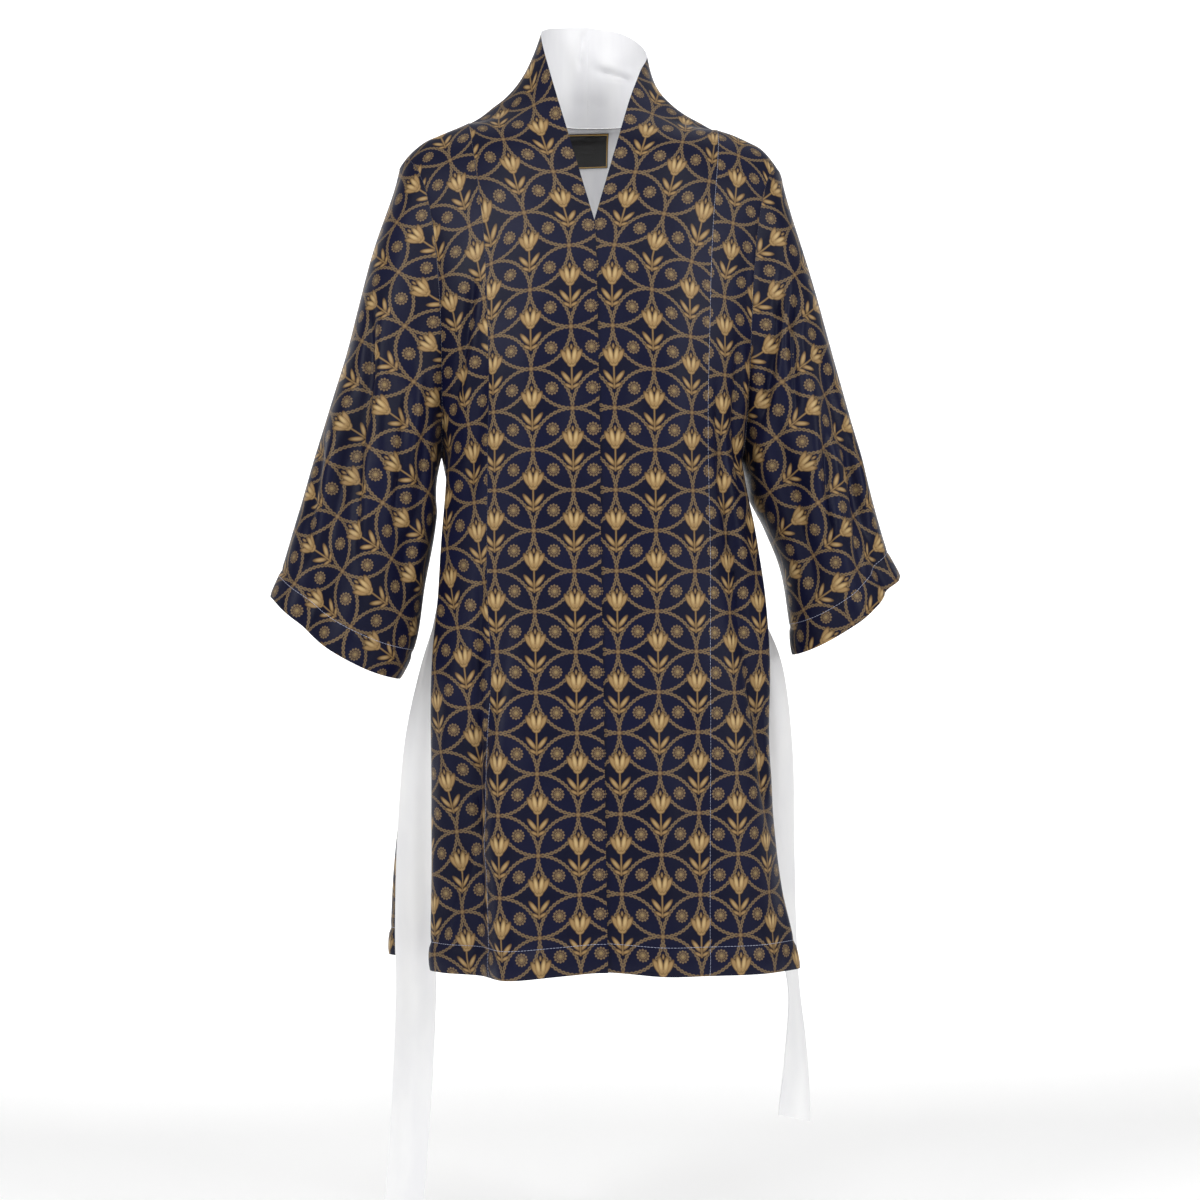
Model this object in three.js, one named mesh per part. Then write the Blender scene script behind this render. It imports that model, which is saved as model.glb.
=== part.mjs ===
// A knee-length kimono robe, filled out as it is when worn, with its untied belt
// hanging at both sides. Millimetres, +Z up, the front facing -Y, +X the wearer's left.
// The origin is the middle of the neck, about 10 mm below the two shoulder seams' highest points.
import * as THREE from 'three';

// Driving sizes
const WALL = 1.2;
const SEAM_GAP = 0.8;
const CENTRE_BACK_GAP = 0.4;
const ARMHOLE_GAP = 1.2;
const HEM_Z = -908;
const HEM_LIFT = 6;
const UNDERARM_Z = -365;
const UNDERARM_HALF_WIDTH = 162;
const CHEST_DEPTH_FRONT = 124;
const CHEST_DEPTH_BACK = 112;
const SECTION_POWER = 2.4;
const V_POINT_Z = -124;
const CROSSING_STANDOFF = 2.3;
const NECK_POINT_X = 88;
const SHOULDER_TIP_X = 207;
const BACK_NECK = { y: 64, z: 2 };
const CENTRE_TOP_Z = 42;
const BELT_WIDTH = 43;
const BELT_WALL = 1.6;
const BELT_Z = -444;
const LABEL_WIDTH = 48;
const LABEL_HEIGHT = 37;
const LABEL_DROP = 3;
const LABEL_STANDOFF = 0.6;
const LABEL_THICKNESS = 0.7;
const HEM_BAND = 32;
const HEM_BAND_RISE = 0.9;
const HEM_STITCH_STEP = 4;
const HEM_LIFT_SPREAD = 45;
const HEM_LIFT_HEIGHT = 160;
const SIDE_SEAM_SPREAD = 9;
const NECKLINE_POWER = 0.9;
const COLLAR_INSIDE_BACK = WALL + 1.4 * SEAM_GAP;
const CROSSING_ENDS = { from: 16, to: 70 };
const COLLAR_BEND_FROM_LEVEL = 1.25;
const LAST_ROW_CLEARANCE = 0.02;
const CUFF_BAND_STARTS = 0.9;
const LABEL_STEPS = 4;

// How many rows and columns each piece has
const UPPER_ROWS = 14;
const CENTRE_COLUMNS = 8;
const SIDE_COLUMNS = 8;
const BACK_COLUMNS_PER_HALF = 13;
const SHOULDER_COLUMNS = 3;
const NECK_POINT_COLUMN = 6;
const COLLAR_STEPS = 3;
const SLEEVE_RINGS = 13;
const BELT_LOOP_COLUMN = 2;

const RIGHT = -1;
const LEFT = 1;
const rad = THREE.MathUtils.degToRad;
const deg = THREE.MathUtils.radToDeg;
const mix = THREE.MathUtils.lerp;
const ease = THREE.MathUtils.smoothstep;

// Horizontal sections below the underarm, from the middle axis: the half widths at the front
// corner, the side seam's groove and the back corner, then the depths. A row for each height.
const BODY_SECTIONS = {
  [RIGHT]: [
    { z: -908, front: 187, side: 160, back: 255, frontDepth: 136, backDepth: 132 },
    { z: -800, front: 185, side: 158, back: 247, frontDepth: 130, backDepth: 126 },
    { z: -690, front: 187, side: 156, back: 234, frontDepth: 126, backDepth: 118 },
    { z: -590, front: 189, side: 155, back: 207, frontDepth: 121, backDepth: 110 },
    { z: -500, front: 181, side: 151, back: 182, frontDepth: 116, backDepth: 100 },
    { z: -430, front: 173, side: 150, back: 165, frontDepth: 117, backDepth: 98 },
    { z: -365, front: 162, side: 162, back: 162, frontDepth: 124, backDepth: 112 },
  ],
  [LEFT]: [
    { z: -908, front: 242, side: 186, back: 234, frontDepth: 134, backDepth: 132 },
    { z: -800, front: 215, side: 178, back: 226, frontDepth: 129, backDepth: 126 },
    { z: -690, front: 204, side: 168, back: 214, frontDepth: 125, backDepth: 118 },
    { z: -590, front: 205, side: 162, back: 200, frontDepth: 121, backDepth: 110 },
    { z: -500, front: 197, side: 156, back: 182, frontDepth: 116, backDepth: 100 },
    { z: -430, front: 184, side: 151, back: 165, frontDepth: 117, backDepth: 98 },
    { z: -365, front: 162, side: 162, back: 162, frontDepth: 124, backDepth: 112 },
  ],
};

// Angles round the body, 0 at the middle of the front and 180 at the middle of the back,
// where the half widths above hold and where they change over
const WIDTH_ANGLES = { frontEnds: 70, sideStarts: 85, sideEnds: 99, backStarts: 111 };

// Large folds of the body, a row for each: its angle, height, spread and depth. Positive
// depths stand out. A fold that is open at the bottom runs on to the hem.
const BODY_FOLDS = {
  [RIGHT]: [
    { topZ: -560, topAngle: 42, bottomZ: -908, bottomAngle: 34, spread: 8, depth: 24, open: true },
    { topZ: -600, topAngle: 55, bottomZ: -908, bottomAngle: 53, spread: 7, depth: -9, open: true },
    { topZ: -430, topAngle: 45, bottomZ: -800, bottomAngle: 50, spread: 5, depth: -6, open: false },
    { topZ: -480, topAngle: 128, bottomZ: -908, bottomAngle: 131, spread: 7, depth: -15, open: true },
    { topZ: -460, topAngle: 143, bottomZ: -908, bottomAngle: 147, spread: 7, depth: 12, open: true },
    { topZ: -500, topAngle: 160, bottomZ: -908, bottomAngle: 163, spread: 7, depth: -11, open: true },
    { topZ: -130, topAngle: 138, bottomZ: -420, bottomAngle: 132, spread: 7, depth: -6, open: false },
  ],
  [LEFT]: [
    { topZ: -300, topAngle: 51, bottomZ: -760, bottomAngle: 72, spread: 5, depth: -8, open: false },
    { topZ: -560, topAngle: 58, bottomZ: -908, bottomAngle: 55, spread: 9, depth: 9, open: true },
    { topZ: -640, topAngle: 30, bottomZ: -908, bottomAngle: 28, spread: 9, depth: 5, open: true },
    { topZ: -520, topAngle: 124, bottomZ: -908, bottomAngle: 127, spread: 7, depth: -13, open: true },
    { topZ: -460, topAngle: 139, bottomZ: -908, bottomAngle: 142, spread: 8, depth: 11, open: true },
    { topZ: -490, topAngle: 155, bottomZ: -908, bottomAngle: 159, spread: 7, depth: -12, open: true },
    { topZ: -480, topAngle: 172, bottomZ: -908, bottomAngle: 174, spread: 7, depth: 9, open: true },
    { topZ: -140, topAngle: 141, bottomZ: -430, bottomAngle: 134, spread: 7, depth: -6, open: false },
  ],
};

// The shares of a fold's length over which it grows, and from which a closed one fades
const BODY_FOLD_GROWS_OVER = 0.5;
const BODY_FOLD_FADES_FROM = 0.65;

// Heights of the rows below the underarm: the hem, its stitching, the waist and the belt
const LOWER_HEIGHTS = [
  -908, -879, -875, -836, -796, -756, -716, -676, -637, -600,
  -565, -534, -507, -484, -464, -444, -424, -404, -384,
];

// The shoulder line's two ends on each half
const SHOULDER_HEIGHTS = {
  [RIGHT]: { neck: 15, tip: -52, bow: 1.5 },
  [LEFT]: { neck: 5, tip: -66, bow: 2.6 },
};

// The free edges of the fronts, as distances from the middle towards each one's own side
const FREE_EDGE = [
  { z: -908, [RIGHT]: -6, [LEFT]: -6 },
  { z: -500, [RIGHT]: -1, [LEFT]: -11 },
  { z: -300, [RIGHT]: 2, [LEFT]: -14 },
  { z: -160, [RIGHT]: 4, [LEFT]: -15 },
  { z: -124, [RIGHT]: 5, [LEFT]: -6 },
];

// Where the seam between the centre front and the side front lies
const FRONT_SEAM = [
  { z: -908, x: 112 },
  { z: -690, x: 114 },
  { z: -500, x: 117 },
  { z: -300, x: 115 },
  { z: -150, x: 120 },
  { z: -14, x: 134 },
];

// The armhole's edge above the underarm: rise is 0 at the underarm and 1 at the shoulder tip
const ARMHOLE = [
  { rise: 0, x: UNDERARM_HALF_WIDTH },
  { rise: 0.3, x: 165 },
  { rise: 0.55, x: 175 },
  { rise: 0.8, x: 193 },
  { rise: 1, x: SHOULDER_TIP_X },
];
const ARMHOLE_OPEN_SHARE = 0.62;
const ARMHOLE_ROUNDING = 0.35;
const SHOULDER_ROUNDING = 0.85;

// The stand collar, cut in one with the centre front. Each row is a section across it: the
// free edge, then the point that bends it, a row for each step from the V to the centre back.
const COLLAR_SECTIONS = {
  [RIGHT]: [
    { edgeX: 28, edgeY: -86, edgeZ: -40, bendX: 78, bendY: -92, bendZ: -44 },
    { edgeX: 46, edgeY: -48, edgeZ: 34, bendX: 80, bendY: -53, bendZ: -5 },
    { edgeX: 55, edgeY: -6, edgeZ: 86, bendX: 72, bendY: -5, bendZ: 39 },
    { edgeX: 49, edgeY: 33, edgeZ: 104, bendX: 57, bendY: 34, bendZ: 47 },
    { edgeX: 26, edgeY: 55, edgeZ: 111, bendX: 28, bendY: 55, bendZ: 56 },
    { edgeX: 0, edgeY: 61, edgeZ: 113, bendX: 0, bendY: 59, bendZ: 57 },
  ],
  [LEFT]: [
    { edgeX: 18.5, edgeY: -88, edgeZ: -42, bendX: 74, bendY: -93, bendZ: -46 },
    { edgeX: 36, edgeY: -50, edgeZ: 13, bendX: 79, bendY: -56, bendZ: -12 },
    { edgeX: 51, edgeY: -9, edgeZ: 51, bendX: 77, bendY: -6, bendZ: 22 },
    { edgeX: 62, edgeY: 28, edgeZ: 79, bendX: 68, bendY: 31, bendZ: 37 },
    { edgeX: 40, edgeY: 53, edgeZ: 104, bendX: 36, bendY: 55, bendZ: 52 },
    { edgeX: 0, edgeY: 61, edgeZ: 113, bendX: 0, bendY: 59, bendZ: 57 },
  ],
};

// Where along the collar's steps its seam passes the shoulder seam's outer end and neck point
const SHOULDER_STEP = 2;
const NECK_STEP = 3;
const CENTRE_BACK_STEP = 6;

// Sleeve rings from armhole to cuff: the outer edge, the inner edge, the middle's y, the half
// depth in front and behind, and how far the front and back hang below the straight line
const SLEEVE_SECTIONS = {
  [RIGHT]: [
    { outX: 207, outZ: -52, inX: 162, inZ: -365, y: 0, front: 80, back: 72, sag: 0 },
    { outX: 231, outZ: -124, inX: 165, inZ: -408, y: -4, front: 80, back: 72, sag: 4 },
    { outX: 266, outZ: -262, inX: 170, inZ: -450, y: -9, front: 76, back: 68, sag: 8 },
    { outX: 303, outZ: -385, inX: 179, inZ: -502, y: -13, front: 70, back: 62, sag: 12 },
    { outX: 331, outZ: -482, inX: 189, inZ: -562, y: -16, front: 64, back: 56, sag: 14 },
    { outX: 344, outZ: -514, inX: 207, inZ: -602, y: -17, front: 62, back: 54, sag: 15 },
  ],
  [LEFT]: [
    { outX: 207, outZ: -66, inX: 162, inZ: -365, y: 0, front: 80, back: 72, sag: 0 },
    { outX: 224, outZ: -140, inX: 168, inZ: -404, y: -4, front: 80, back: 72, sag: 4 },
    { outX: 258, outZ: -262, inX: 187, inZ: -443, y: -9, front: 76, back: 68, sag: 8 },
    { outX: 290, outZ: -375, inX: 205, inZ: -488, y: -13, front: 70, back: 62, sag: 12 },
    { outX: 317, outZ: -462, inX: 213, inZ: -542, y: -16, front: 64, back: 56, sag: 14 },
    { outX: 332, outZ: -492, inX: 216, inZ: -577, y: -17, front: 62, back: 54, sag: 15 },
  ],
};
const SLEEVE_LEAVES_ARMHOLE = 0.3;

// Folds of the sleeves: turn is 0 on the outer edge, 90 in front, 180 at the underarm
const SLEEVE_FOLDS = {
  [RIGHT]: [
    { start: 0.1, startTurn: 48, end: 1, endTurn: 62, spread: 13, depth: -12 },
    { start: 0.25, startTurn: 88, end: 1, endTurn: 96, spread: 15, depth: 8 },
    { start: 0, startTurn: 118, end: 0.75, endTurn: 132, spread: 11, depth: -9 },
    { start: 0.1, startTurn: 305, end: 1, endTurn: 296, spread: 13, depth: -10 },
    { start: 0.1, startTurn: 240, end: 1, endTurn: 250, spread: 13, depth: -9 },
  ],
  [LEFT]: [
    { start: 0.15, startTurn: 52, end: 1, endTurn: 44, spread: 11, depth: -11 },
    { start: 0.3, startTurn: 92, end: 1, endTurn: 86, spread: 15, depth: 8 },
    { start: 0, startTurn: 112, end: 0.8, endTurn: 126, spread: 12, depth: -10 },
    { start: 0.1, startTurn: 300, end: 1, endTurn: 308, spread: 13, depth: -10 },
    { start: 0.1, startTurn: 246, end: 1, endTurn: 238, spread: 13, depth: -9 },
  ],
};

const SLEEVE_FOLD_GROWS_OVER = 0.45;
const SLEEVE_FOLD_FADES_FROM = 0.7;
const SLEEVE_FOLD_SIDEWAYS = 0.5;

// The belt's hanging ends: the centre line, the width there, and how far the width is turned
// from facing the front. Each starts just under its loop.
const BELT_TAILS = {
  [RIGHT]: [
    { x: 157, y: 9, z: -486, width: 26, turn: 86 },
    { x: 165, y: 14, z: -535, width: 32, turn: 76 },
    { x: 177, y: 19, z: -600, width: 38, turn: 58 },
    { x: 186, y: 18, z: -680, width: 42, turn: 38 },
    { x: 190, y: 14, z: -780, width: 43, turn: 24 },
    { x: 191, y: 10, z: -870, width: 43, turn: 14 },
    { x: 190, y: 8, z: -950, width: 43, turn: 6 },
    { x: 196, y: 6, z: -1080, width: 42, turn: 2 },
    { x: 206, y: 4, z: -1208, width: 42, turn: -6 },
  ],
  [LEFT]: [
    { x: 159, y: 10, z: -486, width: 26, turn: -84 },
    { x: 176, y: 18, z: -530, width: 34, turn: -50 },
    { x: 194, y: 26, z: -590, width: 40, turn: -22 },
    { x: 203, y: 24, z: -680, width: 43, turn: -20 },
    { x: 207, y: 20, z: -780, width: 43, turn: -34 },
    { x: 213, y: 14, z: -870, width: 43, turn: -52 },
    { x: 221, y: 10, z: -940, width: 41, turn: -66 },
    { x: 223, y: 8, z: -1010, width: 41, turn: -48 },
    { x: 222, y: 8, z: -1088, width: 41, turn: -24 },
  ],
};
const BELT_TAIL_STEPS = 18;
const BELT_TURN_STEPS = 4;
const BELT_TURN_RADIUS = 24;
const BELT_LOOP_WIDTH_THERE = 26;
const BELT_ACROSS = 4;
const BELT_STANDOFF = 0.7;
const BELT_NARROWS_FROM = 0.55;
const BELT_TURN_OUTWARD = 0.16;

// Cubic interpolation in a table's column, with the named key column as the abscissa
function tableAt(table, key, at, column) {
  const rising = table[table.length - 1][key] > table[0][key];
  const rows = rising ? table : [...table].reverse();
  const last = rows.length - 1;
  const wanted = Math.min(Math.max(at, rows[0][key]), rows[last][key]);
  let i = 0;
  while (i < last - 1 && rows[i + 1][key] < wanted) i += 1;
  const slope = (k) => {
    const low = Math.max(k - 1, 0);
    const high = Math.min(k + 1, last);
    return (rows[high][column] - rows[low][column]) / (rows[high][key] - rows[low][key]);
  };
  const span = rows[i + 1][key] - rows[i][key];
  const t = (wanted - rows[i][key]) / span;
  const t2 = t * t;
  const t3 = t2 * t;
  return (2 * t3 - 3 * t2 + 1) * rows[i][column] + (t3 - 2 * t2 + t) * span * slope(i)
    + (3 * t2 - 2 * t3) * rows[i + 1][column] + (t3 - t2) * span * slope(i + 1);
}

// The same for a table whose rows are evenly numbered steps
function stepAt(table, step, column) {
  const numbered = table.map((row, index) => ({ ...row, index }));
  return tableAt(numbered, 'index', step, column);
}

function bump(distance, spread) {
  return Math.exp(-((distance / spread) ** 2));
}

// The height of the shoulder over a point x out from the middle
function shoulderHeight(half, x) {
  const ends = SHOULDER_HEIGHTS[half];
  if (x < NECK_POINT_X) return mix(CENTRE_TOP_Z, ends.neck, (x / NECK_POINT_X) ** 2);
  const out = (x - NECK_POINT_X) / (SHOULDER_TIP_X - NECK_POINT_X);
  return mix(ends.neck, ends.tip, Math.min(out, 1) ** ends.bow);
}

// Heights are given as levels: 0 at the hem, 1 at the underarm, 2 on the shoulder
function levelOf(z) {
  return (z - HEM_Z) / (UNDERARM_Z - HEM_Z);
}

// The upper rows lie close together at the underarm and at the shoulder
function upperLevel(row) {
  return 1 + (1 - Math.cos((Math.PI * row) / UPPER_ROWS)) / 2;
}

function lowerSection(half, level) {
  const z = mix(HEM_Z, UNDERARM_Z, level);
  const at = (column) => tableAt(BODY_SECTIONS[half], 'z', z, column);
  return {
    z,
    front: at('front'),
    side: at('side'),
    back: at('back'),
    frontDepth: at('frontDepth'),
    backDepth: at('backDepth'),
    edgeAngle: 90,
  };
}

// Above the underarm the front and the back end at the armhole's edge
function upperSection(level, behind) {
  const rise = level - 1;
  const edge = tableAt(ARMHOLE, 'rise', rise, 'x');
  const depth = (behind ? CHEST_DEPTH_BACK : CHEST_DEPTH_FRONT)
    * Math.max(Math.cos((rise * Math.PI) / 2), 0) ** SHOULDER_ROUNDING;
  const early = Math.min(rise / ARMHOLE_ROUNDING, 1);
  const open = ARMHOLE_OPEN_SHARE * Math.sqrt(1 - (1 - early) ** 2);
  const width = edge / (1 - open ** SECTION_POWER) ** (1 / SECTION_POWER);
  return { rise, edge, width, depth, open };
}

function widthAtAngle(section, angle) {
  const toSide = ease(angle, WIDTH_ANGLES.frontEnds, WIDTH_ANGLES.sideStarts);
  const toBack = ease(angle, WIDTH_ANGLES.sideEnds, WIDTH_ANGLES.backStarts);
  return mix(mix(section.front, section.side, toSide), section.back, toBack);
}

function foldAt(half, angle, z) {
  let out = 0;
  for (const fold of BODY_FOLDS[half]) {
    const along = (z - fold.topZ) / (fold.bottomZ - fold.topZ);
    const fades = fold.open ? 1 : 1 - ease(along, BODY_FOLD_FADES_FROM, 1);
    const strength = ease(along, 0, BODY_FOLD_GROWS_OVER) * fades;
    const centre = mix(fold.topAngle, fold.bottomAngle, along);
    out += fold.depth * strength * bump(angle - centre, fold.spread);
  }
  return out;
}

// A point of the body below the underarm, half * x being positive on both halves
function lowerPoint(half, angle, level) {
  const section = lowerSection(half, level);
  const turn = rad(angle);
  const depth = angle < 90 ? section.frontDepth : section.backDepth;
  const across = Math.abs(Math.sin(turn)) / widthAtAngle(section, angle);
  const deep = Math.abs(Math.cos(turn)) / depth;
  const bare = (across ** SECTION_POWER + deep ** SECTION_POWER) ** (-1 / SECTION_POWER);
  const side = bump(angle - 90, SIDE_SEAM_SPREAD);
  const reach = bare + foldAt(half, angle, section.z) * (1 - side)
    + HEM_BAND_RISE * (1 - ease(section.z, HEM_Z + HEM_BAND - HEM_STITCH_STEP, HEM_Z + HEM_BAND));
  const x = reach * Math.sin(turn);
  const lift = HEM_LIFT * bump(x, HEM_LIFT_SPREAD)
    * (1 - ease(section.z, HEM_Z, HEM_Z + HEM_LIFT_HEIGHT));
  return new THREE.Vector3(half * x, -reach * Math.cos(turn), section.z + lift);
}

// A point of the body above the underarm. share runs from 0 in the middle to 1 at the armhole
function upperPoint(half, x, level, behind) {
  const section = upperSection(level, behind);
  const share = Math.min(Math.abs(x) / section.width, 1);
  const y = section.depth * (1 - share ** SECTION_POWER) ** (1 / SECTION_POWER);
  const z = mix(UNDERARM_Z, shoulderHeight(half, Math.abs(x)), Math.sin((section.rise * Math.PI) / 2));
  return new THREE.Vector3(half * x, behind ? y : -y, z);
}

function seamX(z) {
  return tableAt(FRONT_SEAM, 'z', z, 'x');
}

// The front seam's point at a level
function frontSeamPoint(half, level, shift) {
  if (level < 1) {
    const section = lowerSection(half, level);
    const x = seamX(section.z) + shift;
    const y = section.frontDepth
      * (1 - (x / section.front) ** SECTION_POWER) ** (1 / SECTION_POWER);
    return lowerPoint(half, deg(Math.atan2(x, y)), level);
  }
  const z = mix(UNDERARM_Z, FRONT_SEAM[FRONT_SEAM.length - 1].z, Math.sin(((level - 1) * Math.PI) / 2));
  return upperPoint(half, seamX(z) + shift, level, false);
}

function angleOf(point, half) {
  return deg(Math.atan2(half * point.x, -point.y));
}

// Moves the last row of the front and back to either side of the shoulder seam
function atShoulder(point, behind) {
  point.y = (behind ? 1 : -1) * (SEAM_GAP / 2);
  return point;
}

// All the levels from hem to shoulder, which every panel of the body shares
function bodyLevels() {
  const levels = LOWER_HEIGHTS.map(levelOf);
  for (let i = 0; i <= UPPER_ROWS; i += 1) levels.push(upperLevel(i));
  return levels;
}

function sideFrontGrid(half) {
  return bodyLevels().map((level) => {
    const seam = frontSeamPoint(half, level, SEAM_GAP / 2);
    const row = [seam];
    if (level < 1) {
      const from = angleOf(seam, half);
      for (let c = 1; c <= SIDE_COLUMNS; c += 1) {
        row.push(lowerPoint(half, mix(from, 90, c / SIDE_COLUMNS), level));
      }
      row[SIDE_COLUMNS].y -= SEAM_GAP / 2;
      return row;
    }
    const from = half * seam.x;
    const edge = upperSection(level, false).edge;
    const seamBelow = frontSeamPoint(half, 1, SEAM_GAP / 2);
    for (let c = 1; c <= SIDE_COLUMNS; c += 1) {
      const below = lowerPoint(half, mix(angleOf(seamBelow, half), 90, c / SIDE_COLUMNS), 1);
      const start = (below.x - seamBelow.x) / (half * UNDERARM_HALF_WIDTH - seamBelow.x);
      const share = mix(start, c / SIDE_COLUMNS, ease(level, 1, 1.5));
      row.push(upperPoint(half, mix(from, edge, share), level, false));
    }
    if (level === 1) row[SIDE_COLUMNS].y -= SEAM_GAP / 2;
    if (level === 2) row.forEach((p) => atShoulder(p, false));
    return row;
  });
}

// The outer seam of the collar from the V's level round to the centre back
function collarSeamPoint(half, step) {
  if (step <= SHOULDER_STEP) {
    const vLevel = frontLevelAtZ(V_POINT_Z);
    const point = frontSeamPoint(half, mix(vLevel, 2, step / SHOULDER_STEP), -SEAM_GAP / 2);
    if (step === SHOULDER_STEP) atShoulder(point, false);
    return point;
  }
  if (step <= NECK_STEP) {
    const x = mix(seamX(0), NECK_POINT_X - SEAM_GAP, step - SHOULDER_STEP);
    return new THREE.Vector3(half * x, -SEAM_GAP / 2, shoulderHeight(half, x));
  }
  const share = (step - NECK_STEP) / (CENTRE_BACK_STEP - NECK_STEP);
  const inside = ease(share, 0, 0.3);
  const point = necklinePoint(half, share, -mix(SEAM_GAP, COLLAR_INSIDE_BACK, inside));
  if (share === 0) point.y = -SEAM_GAP / 2;
  point.z -= SEAM_GAP * inside;
  return point;
}

// The back neckline, from the neck point at 0 to the centre back at 1
function necklinePoint(half, share, inward) {
  const turn = (share * Math.PI) / 2;
  const x = (NECK_POINT_X + inward) * Math.cos(turn) ** NECKLINE_POWER;
  const y = (BACK_NECK.y + inward) * Math.sin(turn);
  const z = mix(SHOULDER_HEIGHTS[half].neck, BACK_NECK.z, Math.sin(turn));
  return new THREE.Vector3(half * x, y, z);
}

// The level at which the middle of the front reaches a height, and the other way about
function frontLevelAtZ(z) {
  return 1 + (2 / Math.PI) * Math.asin((z - UNDERARM_Z) / (CENTRE_TOP_Z - UNDERARM_Z));
}

function centreHeight(level) {
  if (level < 1) return mix(HEM_Z, UNDERARM_Z, level);
  return mix(UNDERARM_Z, CENTRE_TOP_Z, Math.sin(((level - 1) * Math.PI) / 2));
}

function crossingStandoff(half, x) {
  return half === RIGHT ? CROSSING_STANDOFF * (1 - ease(x, CROSSING_ENDS.from, CROSSING_ENDS.to)) : 0;
}

// A level row of the centre front, from its free edge to the front seam
function centreFrontRow(half, level) {
  const seam = frontSeamPoint(half, level, -SEAM_GAP / 2);
  const freeEdge = tableAt(FREE_EDGE, 'z', centreHeight(level), half);
  const row = [];
  for (let c = 0; c <= CENTRE_COLUMNS; c += 1) {
    const x = mix(freeEdge, half * seam.x, c / CENTRE_COLUMNS);
    let point = seam.clone();
    if (c < CENTRE_COLUMNS && level < 1) {
      const section = lowerSection(half, level);
      const share = Math.abs(x) / section.front;
      const y = section.frontDepth * (1 - share ** SECTION_POWER) ** (1 / SECTION_POWER);
      point = lowerPoint(half, deg(Math.atan2(x, y)), level);
    } else if (c < CENTRE_COLUMNS) {
      point = upperPoint(half, x, level, false);
    }
    point.y -= crossingStandoff(half, x);
    row.push(point);
  }
  return row;
}

// A row across the collar, bent between its free edge and its seam
function collarRow(half, step) {
  const vRow = centreFrontRow(half, frontLevelAtZ(V_POINT_Z));
  const vEdge = vRow[0];
  const vBend = bendThrough(vRow);
  const first = {
    edgeX: half * vEdge.x, edgeY: vEdge.y, edgeZ: vEdge.z,
    bendX: half * vBend.x, bendY: vBend.y, bendZ: vBend.z,
  };
  const table = [first, ...COLLAR_SECTIONS[half]];
  const read = (column) => stepAt(table, step, column);
  const edge = new THREE.Vector3(half * read('edgeX'), read('edgeY'), read('edgeZ'));
  const bend = new THREE.Vector3(half * read('bendX'), read('bendY'), read('bendZ'));
  const seam = collarSeamPoint(half, step);
  const row = [];
  for (let c = 0; c <= CENTRE_COLUMNS; c += 1) {
    const t = c / CENTRE_COLUMNS;
    const point = edge.clone().multiplyScalar((1 - t) ** 2);
    point.addScaledVector(bend, 2 * t * (1 - t));
    point.addScaledVector(seam, t * t);
    row.push(point);
  }
  return row;
}

// The point that bends a three-point curve through a row's middle
function bendThrough(row) {
  const middle = row[Math.floor(row.length / 2)].clone()
    .add(row[Math.floor((row.length - 1) / 2)]).multiplyScalar(0.5);
  return middle.multiplyScalar(2)
    .addScaledVector(row[0], -0.5)
    .addScaledVector(row[row.length - 1], -0.5);
}

function centreFrontGrid(half) {
  const vLevel = frontLevelAtZ(V_POINT_Z);
  const rows = [];
  for (const level of bodyLevels()) {
    if (level < vLevel - LAST_ROW_CLEARANCE) {
      const row = centreFrontRow(half, level);
      const toward = ease(level, COLLAR_BEND_FROM_LEVEL, vLevel);
      const bend = bendThrough(row);
      row.forEach((point, c) => {
        const t = c / CENTRE_COLUMNS;
        const bent = row[0].clone().multiplyScalar((1 - t) ** 2)
          .addScaledVector(bend, 2 * t * (1 - t))
          .addScaledVector(row[CENTRE_COLUMNS], t * t);
        if (c > 0 && c < CENTRE_COLUMNS) point.lerp(bent, toward);
      });
      rows.push(row);
    }
  }
  for (let i = 0; i <= CENTRE_BACK_STEP * COLLAR_STEPS; i += 1) {
    rows.push(collarRow(half, i / COLLAR_STEPS));
  }
  rows[rows.length - 1].forEach((point) => {
    point.x = half * (CENTRE_BACK_GAP / 2);
  });
  return rows;
}

// The back's columns: angles below the underarm, and places along its top edge
function backColumns() {
  const columns = [];
  for (let c = -BACK_COLUMNS_PER_HALF; c <= BACK_COLUMNS_PER_HALF; c += 1) {
    columns.push({ half: c < 0 ? RIGHT : LEFT, share: 1 - Math.abs(c) / BACK_COLUMNS_PER_HALF });
  }
  return columns;
}

// The top edge of the back: share 0 at the armhole, then the shoulder, then the neckline
function backTopPoint(half, share) {
  const shoulderEnds = SHOULDER_COLUMNS / BACK_COLUMNS_PER_HALF;
  const neckStarts = NECK_POINT_COLUMN / BACK_COLUMNS_PER_HALF;
  if (share > neckStarts) return necklinePoint(half, (share - neckStarts) / (1 - neckStarts), 0);
  const x = share < shoulderEnds
    ? mix(SHOULDER_TIP_X, seamX(0), share / shoulderEnds)
    : mix(seamX(0), NECK_POINT_X, (share - shoulderEnds) / (neckStarts - shoulderEnds));
  return new THREE.Vector3(half * x, SEAM_GAP / 2, shoulderHeight(half, x));
}

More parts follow.
